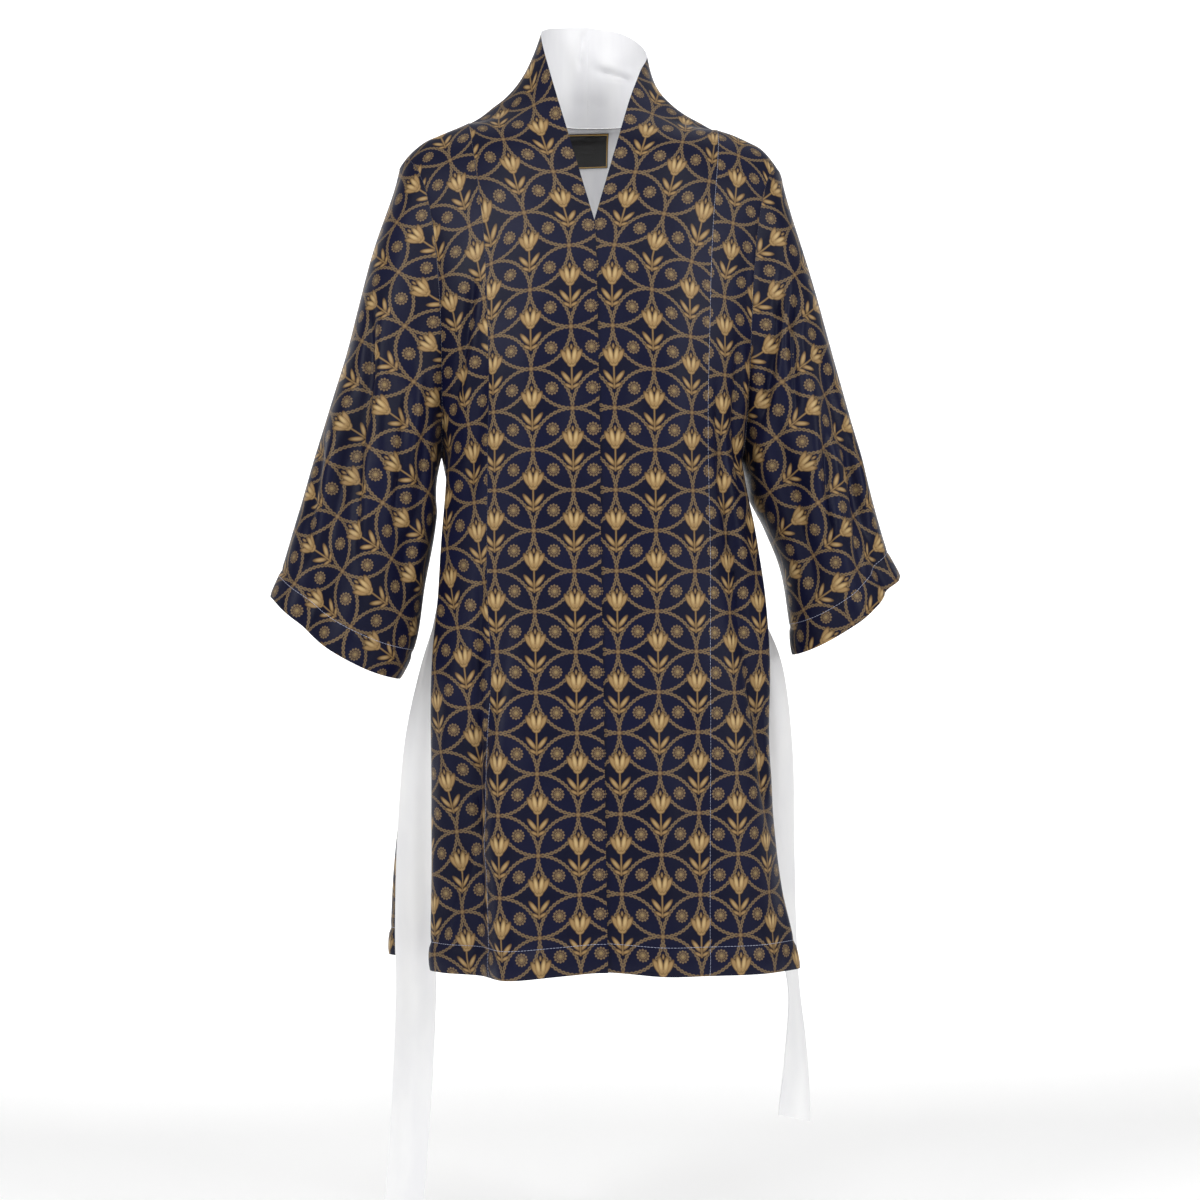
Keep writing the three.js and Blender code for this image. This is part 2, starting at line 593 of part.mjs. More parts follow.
function backGrid() {
  const columns = backColumns();
  return bodyLevels().map((level) => columns.map(({ half, share }) => {
    if (level < 1) {
      const point = lowerPoint(half, mix(90, 180, share), level);
      if (share === 0) point.y += SEAM_GAP / 2;
      return point;
    }
    const edge = upperSection(level, true).edge;
    const top = backTopPoint(half, share);
    const under = Math.abs(lowerPoint(half, mix(90, 180, share), 1).x);
    const slide = level - 1;
    const across = mix(under / UNDERARM_HALF_WIDTH, Math.abs(top.x) / SHOULDER_TIP_X, slide);
    const point = upperPoint(half, edge * across, level, true);
    const drop = top.z - shoulderHeight(half, Math.abs(top.x));
    const fullness = BACK_NECK.y * ease(share, 0.1, 0.95);
    const toNeck = mix(fullness, top.y, slide ** 3);
    point.y += toNeck * (1 - Math.cos((slide * Math.PI) / 2) ** SHOULDER_ROUNDING);
    point.z += drop * Math.sin((slide * Math.PI) / 2);
    if (level === 1 && share === 0) point.y += SEAM_GAP / 2;
    return slide === 1 ? top : point;
  }));
}

// The armhole's edge for a turn round it: 0 at the shoulder tip, 90 in front
function armholePoint(half, turn) {
  const behind = turn > 180;
  const rise = (1 + Math.cos(rad(turn))) / 2;
  const section = upperSection(1 + rise, behind);
  const point = upperPoint(half, section.edge, 1 + rise, behind);
  if (rise < 1e-9 || rise > 1 - 1e-9) point.y = 0;
  return point;
}

function sleeveFoldAt(half, turn, along) {
  let out = 0;
  for (const fold of SLEEVE_FOLDS[half]) {
    const t = (along - fold.start) / (fold.end - fold.start);
    const fades = fold.end < 1 ? 1 - ease(t, SLEEVE_FOLD_FADES_FROM, 1) : 1;
    const strength = ease(t, 0, SLEEVE_FOLD_GROWS_OVER) * fades;
    out += fold.depth * strength * bump(turn - mix(fold.startTurn, fold.endTurn, t), fold.spread);
  }
  return out;
}

function sleevePoint(half, turn, along) {
  const table = SLEEVE_SECTIONS[half];
  const step = along * (table.length - 1);
  const read = (column) => stepAt(table, step, column);
  const c = Math.cos(rad(turn));
  const s = Math.sin(rad(turn));
  const depth = (s > 0 ? read('front') : read('back')) + sleeveFoldAt(half, turn, along);
  const narrowing = sleeveFoldAt(half, turn, along) * c * SLEEVE_FOLD_SIDEWAYS;
  const x = mix(read('inX'), read('outX'), (1 + c) / 2) + narrowing;
  const z = mix(read('inZ'), read('outZ'), (1 + c) / 2) - read('sag') * s * s;
  const ring = new THREE.Vector3(half * x, read('y') - depth * s, z);
  const first = table[0];
  const start = armholePoint(half, turn);
  const middle = (row) => new THREE.Vector3(
    (half * (row.outX + row.inX)) / 2,
    row.y,
    (row.outZ + row.inZ) / 2,
  );
  const now = { outX: read('outX'), inX: read('inX'), y: read('y'), outZ: read('outZ'), inZ: read('inZ') };
  start.add(middle(now).sub(middle(first)));
  const away = ease(along, 0, SLEEVE_LEAVES_ARMHOLE);
  const point = start.lerp(ring, away);
  point.x += half * ARMHOLE_GAP;
  return point;
}

function sleeveGrid(half) {
  const rings = [];
  const around = UPPER_ROWS * 2;
  const places = [];
  for (let i = 0; i < SLEEVE_RINGS - 2; i += 1) {
    places.push((i / (SLEEVE_RINGS - 2)) * CUFF_BAND_STARTS);
  }
  places.push(CUFF_BAND_STARTS, 1);
  for (const along of places) {
    const ring = [];
    for (let k = 0; k < around; k += 1) ring.push(sleevePoint(half, (k * 360) / around, along));
    rings.push(ring);
  }
  return rings;
}

// Unit normals of a grid of points, pointing to the side that sign picks. The rows named as
// square keep no part along x, so that their walls end square to the seam
function gridNormals(grid, closed, sign, squareRows) {
  const rows = grid.length;
  const columns = grid[0].length;
  return grid.map((row, r) => row.map((_, c) => {
    const left = closed ? (c + columns - 1) % columns : Math.max(c - 1, 0);
    const right = closed ? (c + 1) % columns : Math.min(c + 1, columns - 1);
    const across = grid[r][right].clone().sub(grid[r][left]);
    const along = grid[Math.min(r + 1, rows - 1)][c].clone().sub(grid[Math.max(r - 1, 0)][c]);
    const normal = across.cross(along).normalize();
    if (squareRows.includes(r)) normal.x = 0;
    return normal.normalize().multiplyScalar(sign);
  }));
}

// A closed wall between a grid of points and the same grid moved along its normals
function wallGeometry(grid, options) {
  const { closed = false, sign = 1, thickness = WALL, squareRows = [], keep } = options;
  const rows = grid.length;
  const columns = grid[0].length;
  const normals = gridNormals(grid, closed, sign, squareRows);
  const positions = [];
  for (const shift of [0, -thickness]) {
    grid.forEach((row, r) => row.forEach((point, c) => {
      const placed = point.clone().addScaledVector(normals[r][c], shift);
      if (keep) keep(placed, r, c);
      positions.push(...placed.toArray());
    }));
  }
  const index = [];
  const inner = rows * columns;
  const id = (r, c) => r * columns + (c % columns);
  const quad = (a, b, c, d) => index.push(a, b, c, a, c, d);
  const lastColumn = closed ? columns : columns - 1;
  for (let r = 0; r < rows - 1; r += 1) {
    for (let c = 0; c < lastColumn; c += 1) {
      const corners = [id(r, c), id(r, c + 1), id(r + 1, c + 1), id(r + 1, c)];
      const [a, b, d, e] = corners.map((k) => k + inner);
      quad(...corners);
      index.push(a, d, b, a, e, d);
    }
  }
  for (let c = 0; c < lastColumn; c += 1) {
    quad(id(0, c + 1), id(0, c), id(0, c) + inner, id(0, c + 1) + inner);
    const top = rows - 1;
    quad(id(top, c), id(top, c + 1), id(top, c + 1) + inner, id(top, c) + inner);
  }
  if (!closed) {
    for (let r = 0; r < rows - 1; r += 1) {
      const end = columns - 1;
      quad(id(r, 0), id(r + 1, 0), id(r + 1, 0) + inner, id(r, 0) + inner);
      quad(id(r + 1, end), id(r, end), id(r, end) + inner, id(r + 1, end) + inner);
    }
  }
  return facingOut(positions, index);
}

// Turns every triangle over if the closed body would have a negative volume
function facingOut(positions, index) {
  const at = (k) => new THREE.Vector3().fromArray(positions, 3 * k);
  let volume = 0;
  for (let i = 0; i < index.length; i += 3) {
    volume += at(index[i]).dot(at(index[i + 1]).cross(at(index[i + 2])));
  }
  if (volume < 0) {
    for (let i = 0; i < index.length; i += 3) {
      [index[i + 1], index[i + 2]] = [index[i + 2], index[i + 1]];
    }
  }
  const geometry = new THREE.BufferGeometry();
  geometry.setAttribute('position', new THREE.Float32BufferAttribute(positions, 3));
  geometry.setIndex(index);
  geometry.computeVertexNormals();
  return geometry;
}

// A strip's row of points across its width
function stripRow(centre, widthDirection, width) {
  const row = [];
  for (let c = 0; c <= BELT_ACROSS; c += 1) {
    row.push(centre.clone().addScaledVector(widthDirection, width * (c / BELT_ACROSS - 0.5)));
  }
  return row;
}

// A place on the back: the column counted from the right side seam, and the height. Gives the
// point of its outer face and the way out from there
function placeOnBack(back, column, z) {
  const row = Math.max(back.points.findIndex((r) => r[column].z >= z), 1);
  const low = back.points[row - 1][column];
  const high = back.points[row][column];
  const t = THREE.MathUtils.clamp((z - low.z) / (high.z - low.z), 0, 1);
  const out = back.normals[row - 1][column].clone().lerp(back.normals[row][column], t);
  return { point: low.clone().lerp(high, t), out: out.normalize() };
}

function beltBackRows(back) {
  const rows = [];
  const reach = BACK_COLUMNS_PER_HALF - BELT_LOOP_COLUMN;
  for (let k = -reach; k <= reach; k += 1) {
    const narrowing = ease(Math.abs(k) / reach, BELT_NARROWS_FROM, 1);
    const width = mix(BELT_WIDTH, BELT_LOOP_WIDTH_THERE, narrowing);
    const row = [];
    for (let c = 0; c <= BELT_ACROSS; c += 1) {
      const z = BELT_Z + width * (c / BELT_ACROSS - 0.5);
      const { point, out } = placeOnBack(back, BACK_COLUMNS_PER_HALF + k, z);
      row.push(point.addScaledVector(out, BELT_STANDOFF + BELT_WALL));
    }
    rows.push(row);
  }
  return rows;
}

// The turn from lying round the body to hanging, in the plane of the side
function beltTurnRows(half, from) {
  const centre = from[BELT_ACROSS / 2];
  const up = from[BELT_ACROSS].clone().sub(from[0]).normalize();
  const forward = new THREE.Vector3(half * BELT_TURN_OUTWARD, -1, 0).normalize();
  const rows = [];
  for (let i = 1; i <= BELT_TURN_STEPS; i += 1) {
    const turn = (i / (BELT_TURN_STEPS + 1)) * (Math.PI / 2);
    const place = centre.clone()
      .addScaledVector(forward, BELT_TURN_RADIUS * Math.sin(turn))
      .addScaledVector(up, -BELT_TURN_RADIUS * (1 - Math.cos(turn)));
    const widthDirection = up.clone().multiplyScalar(Math.cos(turn))
      .addScaledVector(forward, Math.sin(turn));
    rows.push(stripRow(place, widthDirection, BELT_LOOP_WIDTH_THERE));
  }
  return rows;
}

function beltTailRows(half) {
  const table = BELT_TAILS[half];
  const rows = [];
  for (let i = 0; i <= BELT_TAIL_STEPS; i += 1) {
    const step = (i / BELT_TAIL_STEPS) * (table.length - 1);
    const read = (column) => stepAt(table, step, column);
    const turn = rad(read('turn'));
    const direction = new THREE.Vector3(-half * Math.cos(turn), half * Math.sin(turn), 0);
    const centre = new THREE.Vector3(half * read('x'), read('y'), read('z'));
    rows.push(stripRow(centre, direction, read('width')));
  }
  return rows;
}

function beltGrid(panel) {
  const back = beltBackRows(panel);
  const right = [...beltTurnRows(RIGHT, back[0]), ...beltTailRows(RIGHT)];
  const left = [...beltTurnRows(LEFT, back[back.length - 1]), ...beltTailRows(LEFT)];
  return [...right.reverse(), ...back, ...left];
}

// A thread loop over the belt at a side seam, its two ends sewn to the body
const BELT_LOOP_PATH = [
  { z: 31, out: 0.5 },
  { z: 27, out: 2.4 },
  { z: 19, out: 2.9 },
  { z: -19, out: 2.9 },
  { z: -27, out: 2.4 },
  { z: -31, out: 0.5 },
];
const BELT_LOOP_THREAD = 1.4;
const BELT_LOOP_WIDTH = 5;

function beltLoopGrid(back, half) {
  const column = BACK_COLUMNS_PER_HALF + half * (BACK_COLUMNS_PER_HALF - BELT_LOOP_COLUMN);
  return BELT_LOOP_PATH.map(({ z, out }) => {
    const place = placeOnBack(back, column, BELT_Z + z);
    const level = new THREE.Vector3(place.out.x, place.out.y, 0).normalize();
    const along = new THREE.Vector3(-level.y, level.x, 0);
    place.point.addScaledVector(level, out + BELT_LOOP_THREAD);
    return [-0.5, 0.5].map((w) => place.point.clone().addScaledVector(along, w * BELT_LOOP_WIDTH));
  });
}

// The woven label hangs inside the back, just under the neckline
function labelGrid(back) {
  const grid = [];
  for (let r = 0; r <= LABEL_STEPS; r += 1) {
    const z = BACK_NECK.z - LABEL_DROP - LABEL_HEIGHT * (1 - r / LABEL_STEPS);
    const row = [];
    for (let c = 0; c <= LABEL_STEPS; c += 1) {
      row.push(insideOfBack(back, LABEL_WIDTH * (c / LABEL_STEPS - 0.5), z));
    }
    grid.push(row);
  }
  return grid;
}

// The place just inside the back's wall over a given x and z
function insideOfBack(back, x, z) {
  const middle = BACK_COLUMNS_PER_HALF;
  const side = x < 0 ? -1 : 1;
  let k = 0;
  while (Math.abs(placeOnBack(back, middle + side * (k + 1), z).point.x) < Math.abs(x)) k += 1;
  const near = placeOnBack(back, middle + side * k, z);
  const far = placeOnBack(back, middle + side * (k + 1), z);
  const t = (x - near.point.x) / (far.point.x - near.point.x);
  const out = near.out.lerp(far.out, t).normalize();
  return near.point.lerp(far.point, t).addScaledVector(out, -(WALL + LABEL_STANDOFF));
}

// Materials
const printedSatin = new THREE.MeshStandardMaterial({ color: '#1d1f3d', roughness: 0.5 });
const plainSatin = new THREE.MeshStandardMaterial({ color: '#f4f4f4', roughness: 0.5 });
const wovenLabel = new THREE.MeshStandardMaterial({ color: '#15130f', roughness: 0.7 });

const kimono = new THREE.Group();

function addPiece(name, geometry, material) {
  const mesh = new THREE.Mesh(geometry, material);
  mesh.name = name;
  kimono.add(mesh);
}

// The walls of the fronts and the back end at the shoulder seam, each on its own side of it
function keepInFront(point) {
  point.y = Math.min(point.y, -SEAM_GAP / 2);
}

const topRow = LOWER_HEIGHTS.length + UPPER_ROWS;
const backPoints = backGrid();
const back = { points: backPoints, normals: gridNormals(backPoints, false, -1, []) };
addPiece('back', wallGeometry(backPoints, {
  sign: -1,
  keep: (point, r, c) => {
    const fromMiddle = Math.abs(c - BACK_COLUMNS_PER_HALF);
    const onShoulder = BACK_COLUMNS_PER_HALF - fromMiddle <= NECK_POINT_COLUMN;
    if (r === topRow && onShoulder) point.y = Math.max(point.y, SEAM_GAP / 2);
  },
}), printedSatin);
for (const [half, side] of [[RIGHT, 'right'], [LEFT, 'left']]) {
  const centre = centreFrontGrid(half);
  const collarStart = centre.length - 1 - CENTRE_BACK_STEP * COLLAR_STEPS;
  addPiece(`centre_front_${side}`, wallGeometry(centre, {
    sign: half,
    squareRows: [centre.length - 1],
    keep: (point, r, c) => {
      const step = (r - collarStart) / COLLAR_STEPS;
      const onShoulder = step >= SHOULDER_STEP && step <= NECK_STEP && c === CENTRE_COLUMNS;
      if (onShoulder) keepInFront(point);
    },
  }), printedSatin);
  addPiece(`side_front_${side}`, wallGeometry(sideFrontGrid(half), {
    sign: half,
    keep: (point, r) => {
      if (r === topRow) keepInFront(point);
    },
  }), printedSatin);
  addPiece(`sleeve_${side}`, wallGeometry(sleeveGrid(half), {
    closed: true,
    sign: half,
    squareRows: [0],
  }), printedSatin);
  addPiece(`belt_loop_${side}`, wallGeometry(beltLoopGrid(back, half), {
    sign: -1,
    thickness: BELT_LOOP_THREAD,
  }), plainSatin);
}
addPiece('belt', wallGeometry(beltGrid(back), { sign: 1, thickness: BELT_WALL }), plainSatin);
addPiece('neck_label', wallGeometry(labelGrid(back), {
  sign: -1,
  thickness: LABEL_THICKNESS,
}), wovenLabel);

export default kimono;
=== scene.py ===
"""A satin kimono robe with its untied belt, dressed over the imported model"""

import math
from functools import partialmethod

import bpy
import numpy as np
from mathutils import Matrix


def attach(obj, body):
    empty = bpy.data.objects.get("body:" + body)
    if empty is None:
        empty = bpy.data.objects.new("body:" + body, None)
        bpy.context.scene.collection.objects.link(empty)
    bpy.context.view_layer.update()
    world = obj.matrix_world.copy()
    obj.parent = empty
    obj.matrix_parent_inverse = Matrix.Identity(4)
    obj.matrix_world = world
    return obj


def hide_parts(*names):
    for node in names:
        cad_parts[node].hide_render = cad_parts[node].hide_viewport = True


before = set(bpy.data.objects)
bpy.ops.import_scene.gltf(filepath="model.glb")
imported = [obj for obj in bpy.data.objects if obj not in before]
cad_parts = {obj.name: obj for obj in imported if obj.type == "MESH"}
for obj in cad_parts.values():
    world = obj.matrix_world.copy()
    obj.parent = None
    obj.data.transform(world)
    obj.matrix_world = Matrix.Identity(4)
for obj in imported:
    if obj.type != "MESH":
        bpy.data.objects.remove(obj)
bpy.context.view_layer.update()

MM = 0.001
RIGHT = -1
LEFT = 1
SIDES = {RIGHT: "right", LEFT: "left"}

# Camera, in metres: where it stands, how far it is turned from straight ahead and its lens
CAMERA_PLACE = (-0.2189, -2.8917, -0.518)
CAMERA_TURN = -4.5
CAMERA_LENS = 80.55
CAMERA_SENSOR = 36


def add_object(name, data):
    made = bpy.data.objects.new(name, data)
    bpy.context.scene.collection.objects.link(made)
    return made


camera_data = bpy.data.cameras.new("camera")
camera_data.lens = CAMERA_LENS
camera_data.sensor_width = CAMERA_SENSOR
camera = add_object("camera", camera_data)
camera.location = CAMERA_PLACE
camera.rotation_euler = (math.radians(90), 0, math.radians(CAMERA_TURN))
bpy.context.scene.camera = camera


def table(columns, *rows):
    """Numbers under named columns, one array for each"""
    return dict(zip(columns.split(), np.array(rows, float).T))


def records(columns, *rows):
    """The same rows, one small record for each"""
    return [dict(zip(columns.split(), row)) for row in rows]


# Sizes of the robe, in millimetres
CLOTH = 0.8
SEAM_GAP = 0.1
CENTRE_BACK_GAP = 0.05
ARMHOLE_GAP = 0.2
HEM_Z = -908
HEM_LIFT = 6
HEM_LIFT_SPREAD = 45
HEM_LIFT_HEIGHT = 160
HEM_BAND = 30
UNDERARM_Z = -365
UNDERARM_HALF_WIDTH = 162
CHEST_DEPTH_FRONT = 124
CHEST_DEPTH_BACK = 112
SECTION_POWER = 2.4
V_POINT_Z = -124
CROSSING_STANDOFF = 2.3
CROSSING_ENDS = (16, 70)
NECK_POINT_X = 88
SHOULDER_TIP_X = 207
SHOULDER_ROUNDING = 0.85
BACK_NECK_Y = 64
BACK_NECK_Z = 2
NECKLINE_POWER = 0.9
CENTRE_TOP_Z = 42
COLLAR_INSIDE_BACK = 2.2
SIDE_SEAM_SPREAD = 9
BELT_WIDTH = 43
BELT_WALL = 1.3
BELT_Z = -444
BELT_STANDOFF = 0.7
LABEL_WIDTH = 48
LABEL_HEIGHT = 37
LABEL_DROP = 3
LABEL_TILT = 2.5

# Angles between which the body's section passes from front to side and from side to back
FRONT_TO_SIDE = (70, 85)
SIDE_TO_BACK = (99, 111)

# How far along its line a fold is full, and where one that ends above the hem starts to fade
BODY_FOLD_FULL_AT = 0.5
BODY_FOLD_FADES_FROM = 0.65
SLEEVE_FOLD_FULL_AT = 0.45
SLEEVE_FOLD_FADES_FROM = 0.7

# The ridge beside a crease, and the share of its length over which each end fades
CREASE_RIDGE = 0.5
CREASE_END_SHARE = 0.3

# Shares of the way from the back's side to its middle, at the front seam's top and the neck point
BACK_SEAM_TOP = 3 / 13
BACK_NECK_POINT = 6 / 13

# Rows and columns of the cloth
LOWER_ROWS = 92
UPPER_ROWS = 60
CENTRE_COLUMNS = 44
SIDE_COLUMNS = 34
BACK_COLUMNS_PER_HALF = 65
COLLAR_ROWS_PER_STEP = 12
SLEEVE_RINGS = 104
SLEEVE_COLUMNS = 208
TAIL_ROWS = 90
BELT_ACROSS = 16

BODY_SECTIONS = {
    RIGHT: table(
        "z front side back front_depth back_depth",
        (-908, 187, 160, 255, 136, 132),
        (-800, 185, 158, 247, 130, 126),
        (-690, 187, 156, 234, 126, 118),
        (-590, 189, 155, 207, 121, 110),
        (-500, 181, 151, 182, 116, 100),
        (-430, 173, 150, 165, 117, 98),
        (-365, 162, 162, 162, 124, 112),
    ),
    LEFT: table(
        "z front side back front_depth back_depth",
        (-908, 242, 186, 234, 134, 132),
        (-800, 215, 178, 226, 129, 126),
        (-690, 204, 168, 214, 125, 118),
        (-590, 205, 162, 200, 121, 110),
        (-500, 197, 156, 182, 116, 100),
        (-430, 184, 151, 165, 117, 98),
        (-365, 162, 162, 162, 124, 112),
    ),
}

# Large folds of the body by angle, 0 at the middle of the front and 180 at the middle of the back
FOLD_COLUMNS = "top_z top_angle bottom_z bottom_angle spread depth open"
BODY_FOLDS = {
    RIGHT: records(
        FOLD_COLUMNS,
        (-560, 42, -908, 34, 8, 24, True),
        (-600, 55, -908, 53, 7, -9, True),
        (-430, 45, -800, 50, 5, -6, False),
        (-480, 128, -908, 131, 7, -15, True),
        (-460, 143, -908, 147, 7, 12, True),
        (-500, 160, -908, 163, 7, -11, True),
    ),
    LEFT: records(
        FOLD_COLUMNS,
        (-380, 53, -760, 72, 5, -8, False),
        (-560, 58, -908, 55, 9, 9, True),
        (-640, 30, -908, 28, 9, 5, True),
        (-520, 124, -908, 127, 7, -13, True),
        (-460, 139, -908, 142, 8, 11, True),
        (-490, 155, -908, 159, 7, -12, True),
        (-480, 172, -908, 174, 7, 9, True),
    ),
}

# The height of each shoulder seam, from the neck point out to the tip
SHOULDER_LINE = {
    RIGHT: table(
        "x z",
        (88, 25),
        (104, 14.5),
        (121, 1),
        (139, -8.5),
        (164, -19.5),
        (182, -28),
        (199, -43),
        (207, -55),
    ),
    LEFT: table(
        "x z",
        (88, 13),
        (101, 7),
        (116, -0.5),
        (131, -8.5),
        (150, -14.5),
        (169, -22.5),
        (184, -30.5),
        (199, -48),
        (207, -63),
    ),
}
SHOULDER_NECK_Z = {half: line["z"][0] for half, line in SHOULDER_LINE.items()}

# The free edges of the fronts, as distances from the middle towards each one's own side
FREE_EDGE = table(
    "z right left",
    (-908, -6, -6),
    (-500, -1, -11),
    (-300, 2, -14),
    (-160, 4, -15),
    (-124, 5, -6),
)

FRONT_SEAM = table(
    "z x",
    (-908, 112),
    (-690, 114),
    (-500, 117),
    (-300, 115),
    (-150, 120),
    (-14, 134),
)

ARMHOLE = table(
    "rise x",
    (0, 162),
    (0.3, 165),
    (0.55, 175),
    (0.8, 193),
    (1, 207),
)
ARMHOLE_OPEN_SHARE = 0.62
ARMHOLE_ROUNDING = 0.35

# Sections across the stand collar: the free edge and the point that bends the section
COLLAR_COLUMNS = "edge_x edge_y edge_z bend_x bend_y bend_z"
COLLAR_SECTIONS = {
    RIGHT: [
        (28, -86, -40, 78, -92, -44),
        (46, -48, 34, 80, -53, -5),
        (55, -6, 86, 73.5, -5, 44),
        (49, 33, 104, 57, 34, 47),
        (26, 55, 111, 28, 55, 56),
        (0, 61, 113, 0, 59, 57),
    ],
    LEFT: [
        (18.5, -88, -42, 74, -93, -46),
        (36, -50, 13, 79, -56, -12),
        (51, -9, 51, 77, -6, 28),
        (62, 28, 79, 68, 31, 37),
        (40, 53, 104, 36, 55, 52),
        (0, 61, 113, 0, 59, 57),
    ],
}
SHOULDER_STEP = 2
NECK_STEP = 3
CENTRE_BACK_STEP = 6

SLEEVE_COLUMNS_READ = "out_x out_z in_x in_z y front back sag"
SLEEVE_SECTIONS = {
    RIGHT: table(
        SLEEVE_COLUMNS_READ,
        (207, -52, 162, -365, 0, 80, 72, 0),
        (230, -124, 165, -408, -4, 80, 72, 4),
        (266, -262, 170, -450, -9, 76, 68, 8),
        (303, -385, 179, -502, -13, 70, 62, 12),
        (331, -482, 189, -562, -16, 64, 56, 14),
        (344, -514, 207, -602, -17, 62, 54, 15),
    ),
    LEFT: table(
        SLEEVE_COLUMNS_READ,
        (207, -66, 162, -365, 0, 80, 72, 0),
        (228, -140, 168, -404, -4, 80, 72, 4),
        (262.5, -262, 187, -443, -9, 76, 68, 8),
        (293, -375, 205, -488, -13, 70, 62, 12),
        (317, -462, 213, -542, -16, 64, 56, 11),
        (332, -492, 216, -577, -17, 62, 54, 9),
    ),
}
SLEEVE_LEAVES_ARMHOLE = 0.3
CUFF_BAND_STARTS = 0.915

SLEEVE_FOLD_COLUMNS = "start start_turn end end_turn spread depth"
SLEEVE_FOLDS = {
    RIGHT: records(
        SLEEVE_FOLD_COLUMNS,
        (0.1, 48, 1, 62, 13, -12),
        (0.25, 88, 1, 96, 15, 8),
        (0, 118, 0.75, 132, 11, -9),
        (0.1, 305, 1, 296, 13, -10),
        (0.1, 240, 1, 250, 13, -9),
    ),
    LEFT: records(
        SLEEVE_FOLD_COLUMNS,
        (0.15, 52, 1, 44, 11, -11),
        (0.3, 92, 1, 86, 15, 8),
        (0, 112, 0.8, 126, 12, -10),
        (0.1, 300, 1, 308, 13, -10),
        (0.1, 246, 1, 238, 13, -9),
    ),
}

TAIL_COLUMNS = "x y z width turn"
BELT_TAILS = {
    RIGHT: table(
        TAIL_COLUMNS,
        (157, 9, -486, 26, 86),
        (165, 14, -535, 32, 76),
        (177, 19, -600, 38, 58),
        (186, 18, -680, 42, 38),
        (190, 14, -780, 43, 24),
        (191, 10, -870, 43, 14),
        (190, 8, -950, 43, 6),
        (196, 6, -1080, 42, 2),
        (206, 4, -1208, 42, -6),
    ),
    LEFT: table(
        TAIL_COLUMNS,
        (159, 10, -486, 26, -84),
        (176, 18, -530, 34, -50),
        (194, 26, -590, 40, -22),
        (203, 24, -680, 43, -20),
        (207, 20, -780, 43, -34),
        (213, 14, -870, 43, -52),
        (221, 10, -940, 41, -66),
        (223, 8, -1010, 41, -48),
        (222, 8, -1088, 41, -24),
    ),
}
BELT_TURN_STEPS = 14
BELT_TURN_RADIUS = 24
BELT_TURN_OUTWARD = 0.16
BELT_LOOP_WIDTH_THERE = 26
BELT_NARROWS_FROM = 0.55
TAIL_SLANT = 11

# Creases as seen from the front: the trough's width and depth, and the line that it follows
CREASE_COLUMNS = "width depth path"
FRONT_CREASES = records(
    CREASE_COLUMNS,
    (4, -5.5, [(-122, -440), (-125, -590), (-126, -740), (-121, -900)]),
    (7, -5, [(-124, -730), (-148, -815), (-172, -895)]),
    (9, 3.5, [(-150, -560), (-158, -680), (-166, -790)]),
    (4.5, -5.5, [(-128, -165), (-141, -262), (-155, -335)]),
    (8, -3.5, [(-118, -250), (-128, -350), (-140, -430)]),
    (20, 1.6, [(-84, -180), (-72, -330), (-78, -470)]),
    (16, -1.5, [(-40, -240), (-52, -380), (-46, -520)]),
    (18, -1.8, [(-88, -600), (-92, -740), (-82, -906)]),
    (14, 1.6, [(-48, -640), (-44, -780), (-50, -906)]),
    (3.4, -5, [(124, -265), (128, -370), (137, -446), (145, -492), (156, -600)]),
    (3.6, -4.5, [(153, -560), (170, -672), (179, -760)]),
    (8, 3.4, [(139, -330), (150, -430), (160, -520)]),
    (4.5, -5, [(150, -230), (147, -330), (153, -430)]),
    (18, 1.8, [(70, -200), (84, -330), (76, -480)]),
    (15, -1.6, [(36, -170), (44, -330), (38, -470)]),
    (16, -1.8, [(84, -560), (92, -720), (84, -906)]),
    (17, 1.7, [(42, -600), (36, -760), (44, -906)]),
    (9, -2.2, [(186, -700), (196, -800), (204, -880)]),
)

# The same on the sleeves, in front and behind
SLEEVE_CREASES = {
    RIGHT: records(
        CREASE_COLUMNS,
        (5, -6.5, [(-238, -170), (-237, -284), (-243, -324), (-251, -364), (-254, -444), (-252, -500)]),
        (8, 4.5, [(-224, -170), (-222, -290), (-232, -400)]),
        (6, -6, [(-196, -270), (-205, -390), (-214, -470)]),
        (6, -4.5, [(-284, -330), (-300, -420), (-312, -500)]),
        (10, 4, [(-268, -300), (-280, -400), (-288, -520)]),
    ),
    LEFT: records(
        CREASE_COLUMNS,
        (5, -6.5, [(199, -150), (187, -252), (177, -318), (168, -352)]),
        (5, -6, [(222, -170), (206, -235), (208, -310), (203, -350)]),
        (5, -6, [(240, -330), (244, -388), (245, -433), (242, -478)]),
        (8, 4.5, [(224, -250), (230, -370), (228, -480)]),
        (6, -5.5, [(266, -320), (278, -420), (282, -510)]),
    ),
}
SLEEVE_BACK_CREASES = {
    RIGHT: records(
        CREASE_COLUMNS,
        (6, -4, [(-226, -190), (-236, -300), (-250, -420)]),
        (8, 3, [(-250, -240), (-268, -380), (-280, -520)]),
        (5, -3, [(-194, -290), (-206, -400), (-214, -500)]),
    ),
    LEFT: records(
        CREASE_COLUMNS,
        (6, -3.6, [(222, -200), (236, -320), (246, -430)]),
        (8, 2.8, [(246, -260), (262, -380), (270, -500)]),
        (5, -3.2, [(188, -290), (200, -390), (212, -470)]),
    ),
}

